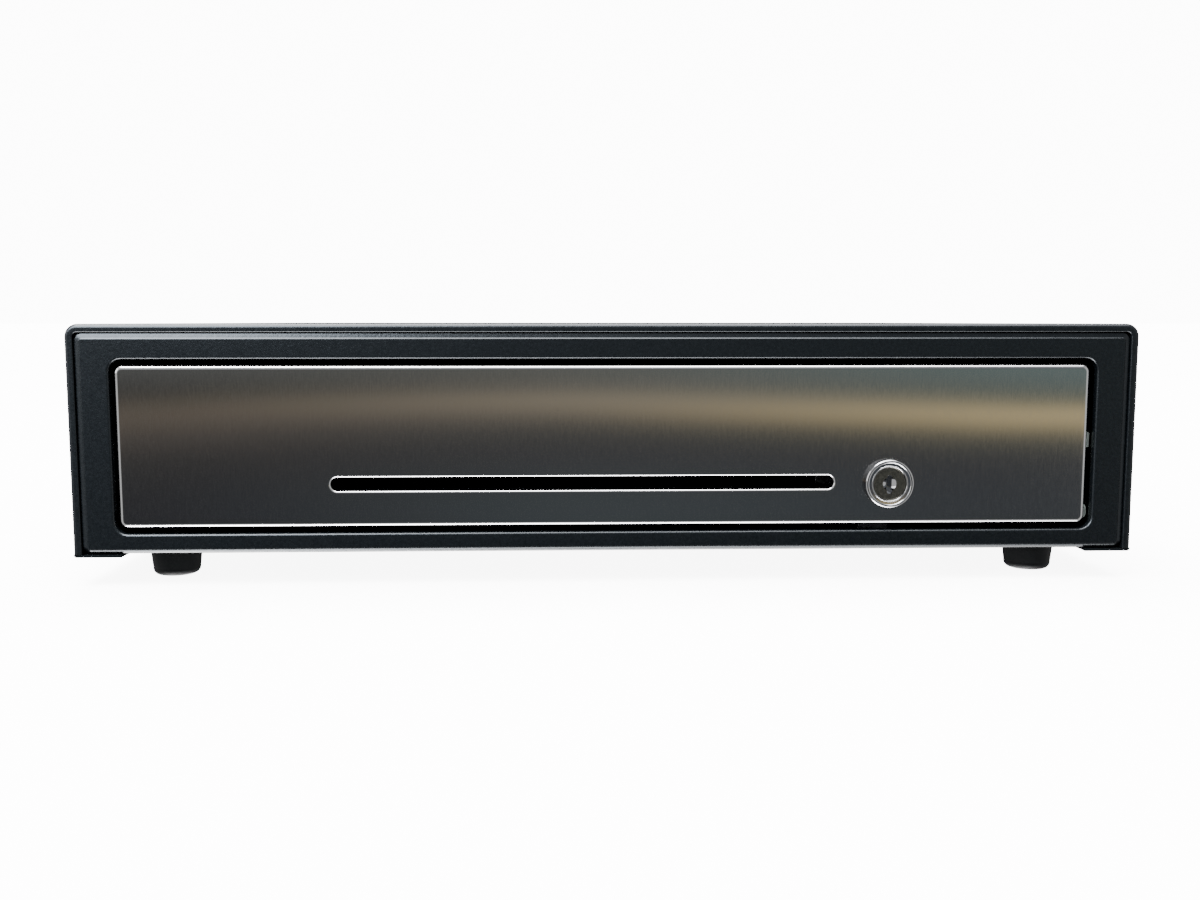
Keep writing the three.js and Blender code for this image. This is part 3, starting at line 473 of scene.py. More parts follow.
def lead_jacket():
    paint = Paint("lead_jacket", (0.014, 0.014, 0.015), 0.4)
    paint.vary_color((60, 3), (0.02, 0.02, 0.021))
    return paint.bump((1500, 2), 0.01)


def gold():
    paint = Paint("contact_gold", (0.75, 0.5, 0.16), 0.22, 1.0)
    paint.vary_roughness((800, 2), 0.06)
    return paint.bump((900, 2), 0.003)


def spring_steel():
    paint = Paint("spring_steel", (0.34, 0.35, 0.37), 0.26, 1.0)
    paint.vary_color((400, 3), (0.42, 0.43, 0.44))
    return paint.bump((1200, 2), 0.004)


PALE = 0.82  # the floor's own grey, before its glow


def pale_floor():
    paint = Paint("pale_floor", (PALE, PALE, PALE), 0.9, Specular_IOR_Level=0.0)
    paint.shader.inputs["Emission Color"].default_value = (1, 1, 1, 1)
    paint.shader.inputs["Emission Strength"].default_value = FLOOR_GLOW
    return paint


PAINTS = (powder_coat, brushed_stainless, chrome, satin_plug, zinc, painted_shade_zinc, rubber, abs_plastic,
          nylon, bumper, coil_tape, lead_jacket, gold, spring_steel, pale_floor)
MATERIALS = {paint.name: paint.material for paint in (make() for make in PAINTS)}


# ---------------- case
def cover():
    """Folded sheet: bottom flanges, sides and top, the front edge hemmed and the rear turned in."""
    fold = COVER_FOLD
    low = CASE_LOW + fold

    def over(inset):
        r = max(CASE_BEND - inset, 0.3)
        half, top = CASE_HALF - inset, CASE_TOP - inset
        left = arc((-half + r, top - r), r, 180, 90, 12)
        right = arc((half - r, top - r), r, 90, 0, 12)
        return [(-half, low), *left, *right, (half, low)]

    def foot(side):
        bend = arc((CASE_HALF - fold, low), fold, 0, -90, 6)
        return [(side * x, z) for x, z in [*bend, (CASE_HALF - COVER_FLANGE, CASE_LOW)]]

    shape = Shape()
    lip = HEM / 2
    hem = [(0, CASE_FRONT + lip)]
    hem += [(lip - a, CASE_FRONT + lip - b) for a, b in arc((0, 0), lip, 0, 90, 7)]
    tight = arc((HEM - HEM_INNER_BEND, HEM_INNER_BEND), HEM_INNER_BEND, -90, 0, 4)
    hem += [(a, CASE_FRONT + b) for a, b in tight]
    hem += [(HEM, CASE_FRONT + lip), (HEM, CASE_FRONT + HEM_DEPTH)]
    turn = COVER_REAR_FOLD
    rear = [(turn - a, CASE_REAR - turn + b) for a, b in arc((0, 0), turn, 0, 90, 4)]
    rear.append((4.5, CASE_REAR))
    shape.skin([at_y(over(d), y) for d, y in hem], ring=False)
    shape.skin([at_y(over(d), y) for d, y in [(0, CASE_FRONT + lip), *rear]], ring=False)
    ends = (CASE_FRONT + 0.4, CASE_FRONT + lip, CASE_REAR - turn)
    for side in (-1, 1):
        shape.skin([at_y(foot(side), y) for y in ends], ring=False)
    shape.piece("cover_sheet", "powder_coat", "case", ["top_cover"], (0, 0, 1), SHEET, 0.2)


def quarter_bend(radius, turn):
    """How far in from the outline and back from the face a bend lies, at an angle along it."""
    return radius * (1 - math.sin(turn)), radius * (1 - math.cos(turn))


def front_frame():
    """The pressed frame: rolled lip, flat face, folded edges and the return that closes the groove."""
    outline = rounded(-FRAME_HALF, FRAME_HALF, FLOOR, FRAME_TOP, 3.0, 6)
    each = len(outline) // 4

    def side_of(i):
        """The outline's outward direction at a point."""
        corner, step = divmod(i, each)
        angle = math.radians(-90 + 90 * corner + 90 * step / (each - 1))
        return math.cos(angle), math.sin(angle)

    def folded_edge(turn, slope):
        """One step round the edge: a full bend below; a crease, a slope and a corner elsewhere."""
        loop = []
        bend = quarter_bend(FRAME_LOWER_BEND, turn)
        for i, (x, z) in enumerate(outline):
            nx, nz = side_of(i)
            below = max(0, -nz)
            inward, back = (below * b + (1 - below) * s for b, s in zip(bend, slope))
            loop.append((x - nx * inward, FRAME_FACE + back, z - nz * inward))
        return loop

    def back_edge(out, y):
        """The return behind the folded edge, spread outwards except below."""
        loop = []
        for i, (x, z) in enumerate(outline):
            nx, nz = side_of(i)
            free = 1 - max(0, -nz)
            loop.append((x + nx * out * free, y + 0.2 * out * (1 - free), z + nz * out * free))
        return loop

    turns = [math.radians(15 * step) for step in range(7)]
    lip = [(0, FRAME_FACE + LIP_DEPTH)]
    for turn in reversed(turns):
        out, back = quarter_bend(LIP_BEND, turn)
        lip.append((out, FRAME_FACE + back))
    loops = [at_y(grown(OPENING, by, 6), y) for by, y in lip]
    creased = [(FRAME_SLOPE, 0), (2.21, 0.02), (1.82, 0.29), (1.66, 0.355)]
    creased += [(0.3, 0.64), (0.07, 0.8), (0, 1.1)]
    loops += [folded_edge(turn, slope) for turn, slope in zip(turns, creased)]
    loops += [back_edge(0, FRAME_BACK - 0.6), back_edge(0.6, FRAME_BACK), back_edge(2.2, FRAME_BACK)]
    shape = Shape().skin(loops)
    shape.piece("frame_pressing", "powder_coat", "case", ["front_frame"], (0, -1, 0), SHEET, 0.15)
    sole = Shape().block(-198, 198, FRAME_BACK, SOLE_BACK, FLOOR, FLOOR + SHEET)
    sole.piece("frame_sole", "powder_coat", "case", bevel=0.2)


def rear_panel():
    outline = (-204.2, 204.2, 12.3, 99.2, 4.2)
    hole = (JACK_X - 7.5, JACK_X + 7.5, JACK_Z - 7, JACK_Z + 7, 0.6)
    outer, soft = REAR_PANEL + SHEET, 0.2
    edge, bore = ([at_y(grown(rect, by, steps), y)
                   for by, y in ((first, outer), (0, outer - soft), (0, REAR_PANEL))]
                  for rect, first, steps in ((outline, -soft, 8), (hole, soft, 3)))
    dimples = [at_y(circle(place, 5.2, 32), outer) for place in REAR_SCREWS]
    shape = Shape().flat(edge[0], [bore[0], *dimples]).skin(edge).skin(bore)
    for place in REAR_SCREWS:
        shape.skin([at_y(circle(place, r, 32), outer - d) for r, d in
                    ((5.2, 0), (4.9, 0.05), (4.5, 0.35), (4.2, 0.4), (1.9, 0.4), (1.9, SHEET))])
    shape.piece("rear_sheet", "powder_coat", "case", ["rear_panel"])


def pairs(first, second):
    """The four names of things that stand in two rows, left and right."""
    return [(row, side) for row in (first, second) for side in ("left", "right")]


def screw(name, node, place, head_radius, head_high, shank_radius, length):
    """A pan-head screw with a cross recess. Its head's top is at the place's origin, facing -Z."""
    dome = [(head_radius * math.sin(a), head_high * 0.7 * (1 - math.cos(a)))
            for a in (math.radians(10 * i) for i in range(10))]
    arm, slit, deep = head_radius * 0.52, head_radius * 0.11, head_high * 0.55
    pitch, root = 0.7, shank_radius * 0.86
    shape = Shape()
    profile = [*dome[1:], (head_radius, head_high), (shank_radius, head_high)]
    for i in range(int(length / pitch)):
        z = head_high + pitch * i
        profile += [(shank_radius, z + 0.1), (root, z + 0.45)]
    profile += [(shank_radius * 0.8, head_high + length), (0, head_high + length)]
    cross = [(slit, slit), (slit, arm), (-slit, arm), (-slit, slit), (-arm, slit), (-arm, -slit),
             (-slit, -slit), (-slit, -arm), (slit, -arm), (slit, -slit), (arm, -slit), (arm, slit)]
    top = dome[5][1]
    rim = [place @ Vector((*p, top)) for p in circle((0, 0), dome[5][0], 36)]
    shape.turned([(r, z) for r, z in profile if r >= dome[5][0] or z > head_high], place, 36)
    mouth, bottom = ([place @ Vector((a * by, b * by, z)) for a, b in cross]
                     for by, z in ((1, top), (0.8, top + deep)))
    shape.flat(rim, [mouth]).skin([mouth, bottom]).flat(bottom)
    shape.piece(name, "zinc_plate", "case", [node])


def screws():
    back = Matrix.Rotation(math.radians(90), 4, "X")
    for (row, side), (x, z) in zip(pairs("upper", "lower"), REAR_SCREWS):
        place = Matrix.Translation((x, REAR_PANEL + SHEET + 1.6, z)) @ back
        screw(f"panel_screw_{row}_{side}", f"rear_screw_{row}_{side}", place, 3.3, 1.4, 1.5, 8)
    for (end, side), (x, y) in zip(pairs("front", "rear"), FEET):
        place = Matrix.Translation((x, y, 3.3))
        screw(f"foot_bolt_{end}_{side}", f"foot_screw_{end}_{side}", place, 4, 2.4, 2, 12)


def feet():
    bore, well, low, edge = 2.3, 5, 9.15, 2.5
    profile = [(bore, 6), (bore, 12), (9.4, 12), (9.8, 11.9), (10, 11.4), (9.7, 8), (9.3, 4), (low, 3)]
    profile += [(x, edge - z) for x, z in arc((low - edge, 0), edge, 0, 90, 9)]
    profile += [(5.4, 0), (5.05, 0.35), (well, 0.8), (well, 5.6), (4.6, 6), (bore, 6)]
    for (end, side), (x, y) in zip(pairs("front", "rear"), FEET):
        shape = Shape().turned(profile, Matrix.Translation((x, y, 0)), 64)
        shape.piece(f"rubber_foot_{end}_{side}", "foot_rubber", "case", [f"foot_{end}_{side}"])


# ---------------- drawer front and lock
def front_panel():
    """The stainless pan, its face pierced by the rolled slot and the lock's hole."""
    x0, x1, z0, z1 = SLOT
    slot = (x0, x1, z0, z1, (z1 - z0) / 2 - 0.01)
    lock_hole = at_y(circle((LOCK_X, LOCK_Z), 8.3, 48), PANEL_FACE)
    shape = Shape().flat(at_y(grown(PANEL, -PANEL_BEND, 10), PANEL_FACE),
                         [at_y(grown(slot, SLOT_ROLL, 12), PANEL_FACE), lock_hole])
    turns = [math.radians(9 * step) for step in range(11)]
    bend = [(-inward, back) for inward, back in (quarter_bend(PANEL_BEND, t) for t in turns)]
    bend.append((0, PANEL_DEPTH))
    shape.skin([at_y(grown(PANEL, by, 10), PANEL_FACE + back) for by, back in bend])
    roll = [*(quarter_bend(SLOT_ROLL, t) for t in turns), (0, 2.6)]
    shape.skin([at_y(grown(slot, by, 12), PANEL_FACE + back) for by, back in roll])
    shape.piece("stainless_front", "brushed_stainless", "drawer", ["front_panel"], (0, -1, 0), 0.8)


def lay_along_y(x, z):
    """Turns a profile made about Z so that its height runs along Y."""
    return Matrix.Translation((x, 0, z)) @ Matrix.Rotation(math.radians(-90), 4, "X")


def lock_front():
    """The housing, from its round rim in over a dished ring and a bead to the bore."""
    rim, body, bore, bead_at = 9.35, 8, 6.42, 6.82
    front, seat, rear = LOCK_FACE, PANEL_FACE - 0.1, -185
    edge = [(x, front + 0.7 - z) for x, z in arc((rim - 0.7, 0), 0.7, 0, 90, 9)]
    dish = [(8.2, front + 0.05), (8.05, front + 0.25), (7.2, front + 0.28)]
    bead = [(x, front + 0.5 - z) for x, z in arc((bead_at, 0), 0.3, 0, 180, 9)]
    profile = [(body, rear), (body, seat), (rim, seat), *edge, *dish, *bead, (bore, front + 0.75)]
    profile += [(bore, rear), (body, rear)]
    shape = Shape().turned(profile, lay_along_y(LOCK_X, LOCK_Z), 72)
    shape.piece("lock_shell", "chrome", "drawer", ["lock_housing"], smooth=50)


def key_outline():
    """The keyhole: a round dimple with a slot through it. Also the slot alone, point for point."""
    half, round_radius, top, low = 1.05, 2.7, 3.3, -4.1
    meet = math.degrees(math.acos(half / round_radius))
    outline = arc((0, 0), round_radius, -meet, meet, 12)
    outline += arc((0, top - half), half, 0, 180, 8)
    outline += arc((0, 0), round_radius, 180 - meet, 180 + meet, 12)
    outline += arc((0, low + half), half, 180, 360, 8)
    slot = [(max(-half, min(half, x)), z) for x, z in outline]
    return outline, slot


def lock_plug():
    face, rear, socket_floor = LOCK_FACE + 0.75, -184.4, -180.2
    flat, radius, socket = 6.0, 6.33, 3
    dimple_depth, slot_depth = 1.1, 9

    def place(outline, depth):
        return [(LOCK_X + x, depth, LOCK_Z + z) for x, z in outline]

    hole, slot = key_outline()
    rim = circle((0, 0), flat, 72)
    shape = Shape().flat(place(rim, face), [place(hole, face)])
    sides = [(flat, face), (6.2, face + 0.06), (radius, face + 0.2), (radius, rear), (socket, rear),
             (socket, socket_floor), (0.01, socket_floor)]
    shape.skin([place([(x * r / flat, z * r / flat) for x, z in rim], y) for r, y in sides])
    shape.piece("plug_face", "satin_plug", "key_barrel", ["lock_plug"])
    edge = [(x * 0.98, z * 0.98) for x, z in hole]
    bottom = place(slot, face + slot_depth)
    shape = Shape().skin([place(hole, face), place(edge, face + 0.15),
                          place(slot, face + dimple_depth), bottom]).flat(bottom)
    shape.piece("keyhole_walls", "chrome", "key_barrel")


def lock_works():
    """What the key turns behind the front, and the long rod to the back of the drawer."""
    radius, front, rear = 2.5, -179.9, 158.4
    rod = [(0, front), (1.9, front), (radius, -179.3), (radius, 158), (2.1, rear), (0, rear)]
    shape = Shape().turned(rod, lay_along_y(LOCK_X, LOCK_Z), 24)
    tip, hub, reach = 2, 3.6, 11
    crank = [(LOCK_X + x, LOCK_Z - reach + tip + z) for x, z in arc((0, 0), tip, 180, 360, 10)]
    crank += [(LOCK_X + x, LOCK_Z + z) for x, z in arc((0, 0), hub, -56, 236, 20)]
    shape.skin([at_y(crank, 156.5), at_y(crank, 158.5)], caps=True)
    shape.piece("rod_and_crank", "zinc_plate", "key_barrel", ["lock_rod"], bevel=0.2)
    refine("lock_cam", "zinc_plate", 0.25)
    refine("lock_nut", "zinc_plate", 0.4)
    refine("lock_keeper", "zinc_plate", 0.25)
    bore, sleeve, front, flange, rear = 2.8, 4.1, 146, 150.3, 151.8
    collar = [(bore, front), (sleeve, front), (sleeve, flange), (5.8, flange), (6, 150.6), (6, 151.4),
              (5.6, rear), (3.1, rear), (bore, 151.5), (bore, front)]
    shape = Shape().turned(collar, lay_along_y(LOCK_X, LOCK_Z), 40)
    shape.piece("rod_collar", "white_nylon", "drawer", ["rod_bushing"])


# ---------------- slides
# Each ball cage: its ends along Y, and how far its balls stand from the drawer and from the
# slide's centreline.
CAGES = {"outer_cage": (-115, 15, 7.0, 14.75), "inner_cage": (-110, 40, 6.3, 10.6)}
# Each bumper that shows beside the drawer's front: its foot, its top and its corner radius.
BUMPERS = {"upper": (51.6, 57.6, 0.5), "lower": (23.4, 29.3, 2.0)}
BUMPER_LEFT, BUMPER_RIGHT = PANEL[1] + 0.3, 188.7
SLIDE_LIP_LOW, SLIDE_LIP_HIGH = 27.4, 53.4


def slides():
    balls, ball_radius, cage_end = 8, 1.5, 6
    for side, sign in (("left", -1), ("right", 1)):
        # painted shade: the outer members take the near-black colour that stands in for the shade in the
        # gaps
        refine(f"{side}_slide_outer", "painted_shade_zinc", 0.15)
        for kind in ("outer_cage", "middle", "inner_cage", "inner"):
            refine(f"{side}_slide_{kind}", "zinc_plate", 0.15)
        for kind, (start, end, out, off) in CAGES.items():
            shape = Shape()
            for i in range(balls):
                y = start + cage_end + (end - start - 2 * cage_end) * i / (balls - 1)
                for up in (-1, 1):
                    shape.ball((sign * (BOX_HALF + out), y, SLIDE_Z + up * off), ball_radius)
            shape.piece(f"{side}_{kind}_balls", "chrome", f"{side}_slide_{kind}", smooth=60)
    for row, (low, high, curve) in BUMPERS.items():
        outline = rounded(BUMPER_LEFT - curve, BUMPER_RIGHT, low, high, curve)
        outline = [(max(x, BUMPER_LEFT), z) for x, z in outline]
        shape = Shape().skin([at_y(outline, -201.2), at_y(outline, -199.7)], caps=True)
        foot, top = max(low, SLIDE_LIP_LOW), min(high, SLIDE_LIP_HIGH)
        shape.block(186.6, 187.7, -199.8, -198.9, foot, top)
        shape.piece(f"slide_bumper_{row}", "slide_bumper", "right_slide_middle", bevel=0.15)
    for side in ("left", "right"):
        refine(f"{side}_rail_bracket", "powder_coat", 0.25)


# ---------------- till
def bays():
    """The left and right wall of each note bay."""
    inner = TILL_HALF - TILL_WALL
    wide = (2 * inner - (BILLS - 1) * PARTITION) / BILLS
    starts = [-inner + i * (wide + PARTITION) for i in range(BILLS)]
    return [(x, x + wide) for x in starts]


def pocket(shape, rect, top, floor, draft, fillet):
    """A moulded pocket: drafted walls, a filleted floor. Returns its mouth's outline."""
    steps = [(0.5, top), (0.15, top - 0.15), (0, top - 0.5)]
    wall = floor + fillet
    steps.append((-draft, wall))
    for i in range(1, 7):
        turn = math.radians(15 * i)
        steps.append((-draft - fillet * (1 - math.cos(turn)), wall - fillet * math.sin(turn)))
    loops = [at_z(grown(rect, by, 6), z) for by, z in steps]
    shape.skin(loops)
    shape.bm.faces.new(shape.points(loops[-1]))
    return loops[0]


def till():
    """The tray: note bays at the back, a well for the coin cups, and notches for the clips' rod."""
    shape = Shape()
    mouths = []
    front, rear = WELL_REAR + PARTITION + 0.4, TILL_REAR - TILL_WALL - 0.4
    for x0, x1 in bays():
        bay = (x0 + 0.4, x1 - 0.4, front, rear, 4.0)
        mouths.append(pocket(shape, bay, TILL_HIGH, TILL_LOW + 1.6, 0.7, 4.0))
    inner = TILL_HALF - TILL_WALL
    mouths.append(pocket(shape, (-inner, inner, TILL_FRONT + TILL_WALL, WELL_REAR, 1.5), TILL_HIGH,
                         TILL_LOW + 2.0, 0.0, 0.2))
    outer = (-TILL_HALF, TILL_HALF, TILL_FRONT, TILL_REAR, 3.0)
    shape.flat(at_z(grown(outer, -0.5), TILL_HIGH), mouths)
    shape.skin([at_z(grown(outer, by), z) for by, z in
                ((-0.5, TILL_HIGH), (-0.15, TILL_HIGH - 0.15), (0, TILL_HIGH - 0.5), (0, TILL_LOW + 0.5),
                 (-0.5, TILL_LOW))])
    shape.bm.faces.new(shape.points(at_z(grown(outer, -0.5), TILL_LOW)))
    for sign in (-1, 1):
        a, b = sorted((sign * TILL_HALF, sign * (TILL_HALF - TILL_WALL)))
        shape.block(a, b, TILL_FRONT + 3, TILL_REAR - 3, SKIRT_FOOT, TILL_LOW + 1)
    made = shape.piece("till_moulding", "black_abs", "drawer", ["till_tray"])
    notch = Shape().block(-inner, inner, CLIP_Y - 2.4, CLIP_Y + 2.4, CLIP_Z - 2.4, 90)
    bmesh.ops.recalc_face_normals(notch.bm, faces=notch.bm.faces)
    tool = solid("notch", notch.bm)
    carve = made.modifiers.new("notches", "BOOLEAN")
    carve.object = tool
    carve.solver = "EXACT"
    settle(made)
    made.data.materials.clear()  # the cut adds an empty slot
    made.data.materials.append(MATERIALS["black_abs"])
    bpy.data.objects.remove(tool)


def coin_cups():
    """Two rows of four scooped cups with round bottoms."""
    half = TILL_HALF - TILL_WALL - 0.4
    front, rear = TILL_FRONT + TILL_WALL + 0.4, WELL_REAR - 0.4
    low = TILL_LOW + TILL_WALL + 0.3
    wide = (2 * half - (COIN_COLUMNS + 1) * PARTITION) / COIN_COLUMNS
    radius = (rear - front - (COIN_ROWS + 1) * PARTITION) / (2 * COIN_ROWS)
    shape = Shape()
    mouths = []
    for row in range(COIN_ROWS):
        for column in range(COIN_COLUMNS):
            x0 = -half + PARTITION + column * (wide + PARTITION)
            y = front + PARTITION + radius + row * (2 * radius + PARTITION)
            loops = []
            for by, z in ((0.5, TILL_HIGH), (0.15, TILL_HIGH - 0.15), (0, TILL_HIGH - 0.5)):
                loops.append(at_z(grown((x0, x0 + wide, y - radius, y + radius, 3), by, 6), z))
            for i in range(1, 17):
                turn = math.radians(5.6 * i)
                deep, reach = (radius - 0.4) * math.sin(turn), radius * math.cos(turn)
                inset = 0.8 * i / 16 + 3.2 * max(0, (i - 10) / 6) ** 2
                rect = (x0 + inset, x0 + wide - inset, y - reach, y + reach, min(3, reach * 0.9))
                loops.append(at_z(rounded(*rect, 6), TILL_HIGH - 0.5 - deep))
            shape.skin(loops)
            shape.bm.faces.new(shape.points(loops[-1]))
            mouths.append(loops[0])
    outer = (-half, half, front, rear, 1.5)
    shape.flat(at_z(grown(outer, -0.5), TILL_HIGH), mouths)
    shape.skin([at_z(grown(outer, by), z) for by, z in
                ((-0.5, TILL_HIGH), (0, TILL_HIGH - 0.5), (0, low + 0.4), (-0.4, low))])
    shape.bm.faces.new(shape.points(at_z(grown(outer, -0.4), low)))
    shape.piece("coin_cups", "black_abs", "drawer", ["coin_tray"])


def lay_along_x(x, y, z):
    """Turns a profile made about Z so that its height runs along X."""
    return Matrix.Translation((x, y, z)) @ Matrix.Rotation(math.radians(90), 4, "Y")


def bill_clips():
    end = TILL_HALF - TILL_WALL - 0.3
    ends = [(0, -end), (1.6, -end), (2, -end + 0.4), (2, end - 0.4), (1.6, end), (0, end)]
    shape = Shape().turned(ends, lay_along_x(0, CLIP_Y, CLIP_Z), 32)
    shape.piece("clip_rod", "zinc_plate", "drawer", ["clip_shaft"])
    # The arm's middle line in Y and Z from the shaft, with its half width and half thickness.
    line = [(1, 0.2, 9, 2.4), (-5, -1.4, 9.5, 2.0), (-14, -4.8, 9.5, 1.5), (-30, -11.2, 9.5, 1.2),
            (-44, -16.8, 11, 1.0), (-50, -18.9, 16, 0.9), (-55, -20.1, 21, 0.8), (-60, -20.5, 22.6, 0.8),
            (-64, -20.3, 22.8, 0.75), (-67.4, -18.9, 22.5, 0.7), (-69.4, -17.1, 21.5, 0.6)]
    for number, (x0, x1) in enumerate(bays(), 1):
        middle = (x0 + x1) / 2
        shape = Shape()
        loops = []
        for i, (y, z, half, thick) in enumerate(line):
            before, after = line[max(i - 1, 0)], line[min(i + 1, len(line) - 1)]
            along = Vector((0, after[0] - before[0], after[1] - before[1])).normalized()
            up = Vector((0, -along.z, along.y))
            centre = Vector((middle, CLIP_Y + y, CLIP_Z + z))
            section = rounded(-half, half, -thick, thick, thick * 0.85, 4)
            loops.append([centre + Vector((a, 0, 0)) + up * b for a, b in section])
        shape.skin(loops, caps=True)
        hub = [(2.3, -15), (3.6, -15), (4, -14.6), (4, 14.6), (3.6, 15), (2.3, 15), (2.3, -15)]
        shape.turned(hub, lay_along_x(middle, CLIP_Y, CLIP_Z), 32)
        shape.piece(f"note_clip_{number}", "black_abs", f"bill_clip_{number}", [f"bill_clip_{number}"])
        turns, pitch, radius, steps = 7, 0.75, 2.9, 96
        path = []
        for step in range(steps + 1):
            turn = 2 * math.pi * turns * step / steps
            x = middle + 15.6 + pitch * turns * step / steps
            path.append((x, CLIP_Y + radius * math.cos(turn), CLIP_Z + radius * math.sin(turn)))
        coil = Shape().tube(path, 0.34, 8)
        coil.piece(f"clip_spring_{number}", "spring_steel", "drawer")


# ---------------- latch unit
def helix(centre, axis_from, axis_to, radius, turns, steps=20):
    """Points of a coil along Y."""
    count = turns * steps
    path = []
    for i in range(count + 1):
        turn = 2 * math.pi * turns * i / count
        y = axis_from + (axis_to - axis_from) * i / count
        path.append((centre[0] + radius * math.cos(turn), y, centre[1] + radius * math.sin(turn)))
    return path


def spring(name, node, body, centre, fixed, moving, radius, wire, sides):
    """A coil along Y from a point on the case to a point on a moving body."""
    path = helix(centre, min(fixed, moving), max(fixed, moving), radius, 11)
    ends = [(centre[0] * MM, y * MM, centre[1] * MM) for y in (fixed, moving)]
    Shape().tube(path, wire, sides).piece(name, "spring_steel", ("case", body, *ends), [node])


def latch_unit():
    for node in ("latch_bracket", "latch_hook", "striker", "solenoid_frame", "switch_lever"):
        refine(node, "zinc_plate", 0.25)
    refine("drawer_switch", "black_abs", 0.4)
    refine("solenoid_plunger", "zinc_plate", 0.25)
    pin_radius, sleeve, head = 2, 3.4, 3.6
    pin = [(0, 24), (1.7, 24), (pin_radius, 24.3), (pin_radius, 27.3), (sleeve, 27.3), (sleeve, 37.7),
           (pin_radius, 37.7), (pin_radius, 42), (head, 42), (head, 43), (3, 43.5), (0, 43.5)]
    shape = Shape().turned(pin, Matrix.Translation((HOOK.x, HOOK.y, 0)), 32)
    shape.piece("hook_pin", "zinc_plate", "case", ["latch_pivot_pin"])
    spring("hook_spring", "latch_spring", "latch_hook", SPRING_POST, 166, 179.6, 2.4, 0.4, 8)
    coil = [(5.2, 99.8), (8.9, 99.8), (9, 100.3), (9, 101.6), (8.5, 101.9), (8.6, 104), (8.65, 115),
            (8.6, 126), (8.5, 128.1), (9, 128.4), (9, 129.7), (8.9, 130.2), (5.2, 130.2), (5.2, 99.8)]
    shape = Shape().turned(coil, lay_along_x(0, SOLENOID_Y, SOLENOID_Z), 48)
    shape.piece("wound_coil", "coil_tape", "case", ["solenoid_coil"])


def ejector():
    rod, flange, front, rear = 3, 10, 165, 206.6
    post = [(0, front), (2.4, front), (rod, 165.8), (rod, 204.6), (9.6, 205), (flange, 205.4),
            (flange, rear), (0, rear)]
    Shape().turned(post, lay_along_y(EJECT_X, EJECT_Z), 40).piece(
        "eject_post", "white_nylon", "case", ["eject_guide"])
    bore, sleeve, brim, front, end = 3.4, 4.8, 8, 150.4, 185
    cap = [(0, front), (7.2, front), (7.8, 150.7), (brim, 151.3), (brim, 152.6), (7.7, 153),
           (sleeve, 153.2), (sleeve, end), (bore, end), (bore, 153.4), (0, 153.4)]
    Shape().turned(cap, lay_along_y(EJECT_X, EJECT_Z), 40).piece(
        "eject_plunger", "black_abs", "eject_cap", ["eject_cap"])
    spring("eject_coil", "eject_spring", "eject_cap", (EJECT_X, EJECT_Z), 204.2, 153.8, 6.4, 0.6, 10)


def smooth_path(route, steps=6):
    """A smooth curve through the points of a route."""
    last = len(route) - 1
    path = []
    for i in range(last):
        a, b, c, d = (Vector(route[max(0, min(last, i + k))]) for k in (-1, 0, 1, 2))
        for step in range(steps):
            t = step / steps
            path.append(0.5 * (2 * b + (c - a) * t + (2 * a - 5 * b + 4 * c - d) * t ** 2
                               + (3 * b - a - 3 * c + d) * t ** 3))
    path.append(Vector(route[-1]))
    return path


def signal_socket():
    """The socket's contacts and the lead from it to the switch and the solenoid."""
    refine("signal_jack", "black_abs", 0.25)
    shape = Shape()
    for i in range(6):
        x = JACK_X - 3.2 + 1.27 * i
        shape.tube([(x, 206.4, JACK_Z - 3.3), (x, 203, JACK_Z - 2.6), (x, 199, JACK_Z + 1.2)], 0.23, 6)
    shape.piece("socket_contacts", "contact_gold", "case")
    route = [(JACK_X, 191.6, JACK_Z), (JACK_X + 0.5, 187, 30.5), (JACK_X + 4, 184, 22),
             (JACK_X + 12, 186, 16.4), (JACK_X + 30, 190, 15.6), (-60, 189, 15.6), (-30, 187, 15.6),
             (0, 189, 15.6), (12, 193, 17), (19, 197, 24), (26, 199.5, 33), (34, 201, 37.5), (42, 201, 38)]
    Shape().tube(smooth_path(route), 1.5, 12).piece("lead_run", "lead_jacket", "case", ["signal_lead"])


cover()
front_frame()
rear_panel()
refine("base_plate", "powder_coat", 0.25)
feet()
screws()
front_panel()
lock_front()
lock_plug()
lock_works()
refine("drawer_box", "powder_coat", 0.25)
slides()
till()
coin_cups()
bill_clips()
latch_unit()
ejector()
signal_socket()


# ---------------- stage, camera and light
def floor():
    """A white lit table that runs to the horizon. It shows the soft shadow, and lights nothing."""
    mesh = bpy.data.meshes.new("counter")
    reach = 60.0  # metres
    corners = [(-reach, -reach, 0), (reach, -reach, 0), (reach, reach, 0), (-reach, reach, 0)]
    mesh.from_pydata(corners, [], [(0, 1, 2, 3)])
    made = placed("counter", mesh)
    made.data.materials.append(MATERIALS["pale_floor"])
    made.visible_glossy = False
    made.visible_diffuse = False

    lamp = bpy.data.lights.new("floor_lamp", "SUN")
    lamp.angle = math.radians(100)
    lamp.energy = FLOOR_LIGHT * math.pi / PALE
    source = placed("floor_lamp", lamp)
    source.rotation_euler = (math.radians(12), math.radians(-8), 0)
    only = bpy.data.collections.new("floor_only")
    only.objects.link(made)
    source.light_linking.receiver_collection = only


def camera():
    """The photograph's camera, as fitted to the outline, the panel, the slot, the lock and the feet."""
    data = bpy.data.cameras.new("camera")
    data.lens, data.sensor_width = 36.07, 36.0
    made = placed("camera", data)
    made.location = Vector((-20.1, -664.7, 100.8)) * MM
    tilt_down, turn_right = 6.10, 2.03
    made.rotation_euler = (math.radians(90 - tilt_down), 0, math.radians(-turn_right))
    bpy.context.scene.camera = made


def softbox(name, place, target, size, power, color=(1, 1, 1)):
    """A rectangular lamp that faces a target. Its places and sizes are in metres."""
    data = bpy.data.lights.new(name, "AREA")
    data.shape, data.size, data.size_y = "RECTANGLE", *size
    data.energy, data.color = power, color
    made = placed(name, data)
    made.location = place
    made.rotation_euler = (Vector(target) - Vector(place)).to_track_quat("-Z", "Y").to_euler()
    return made


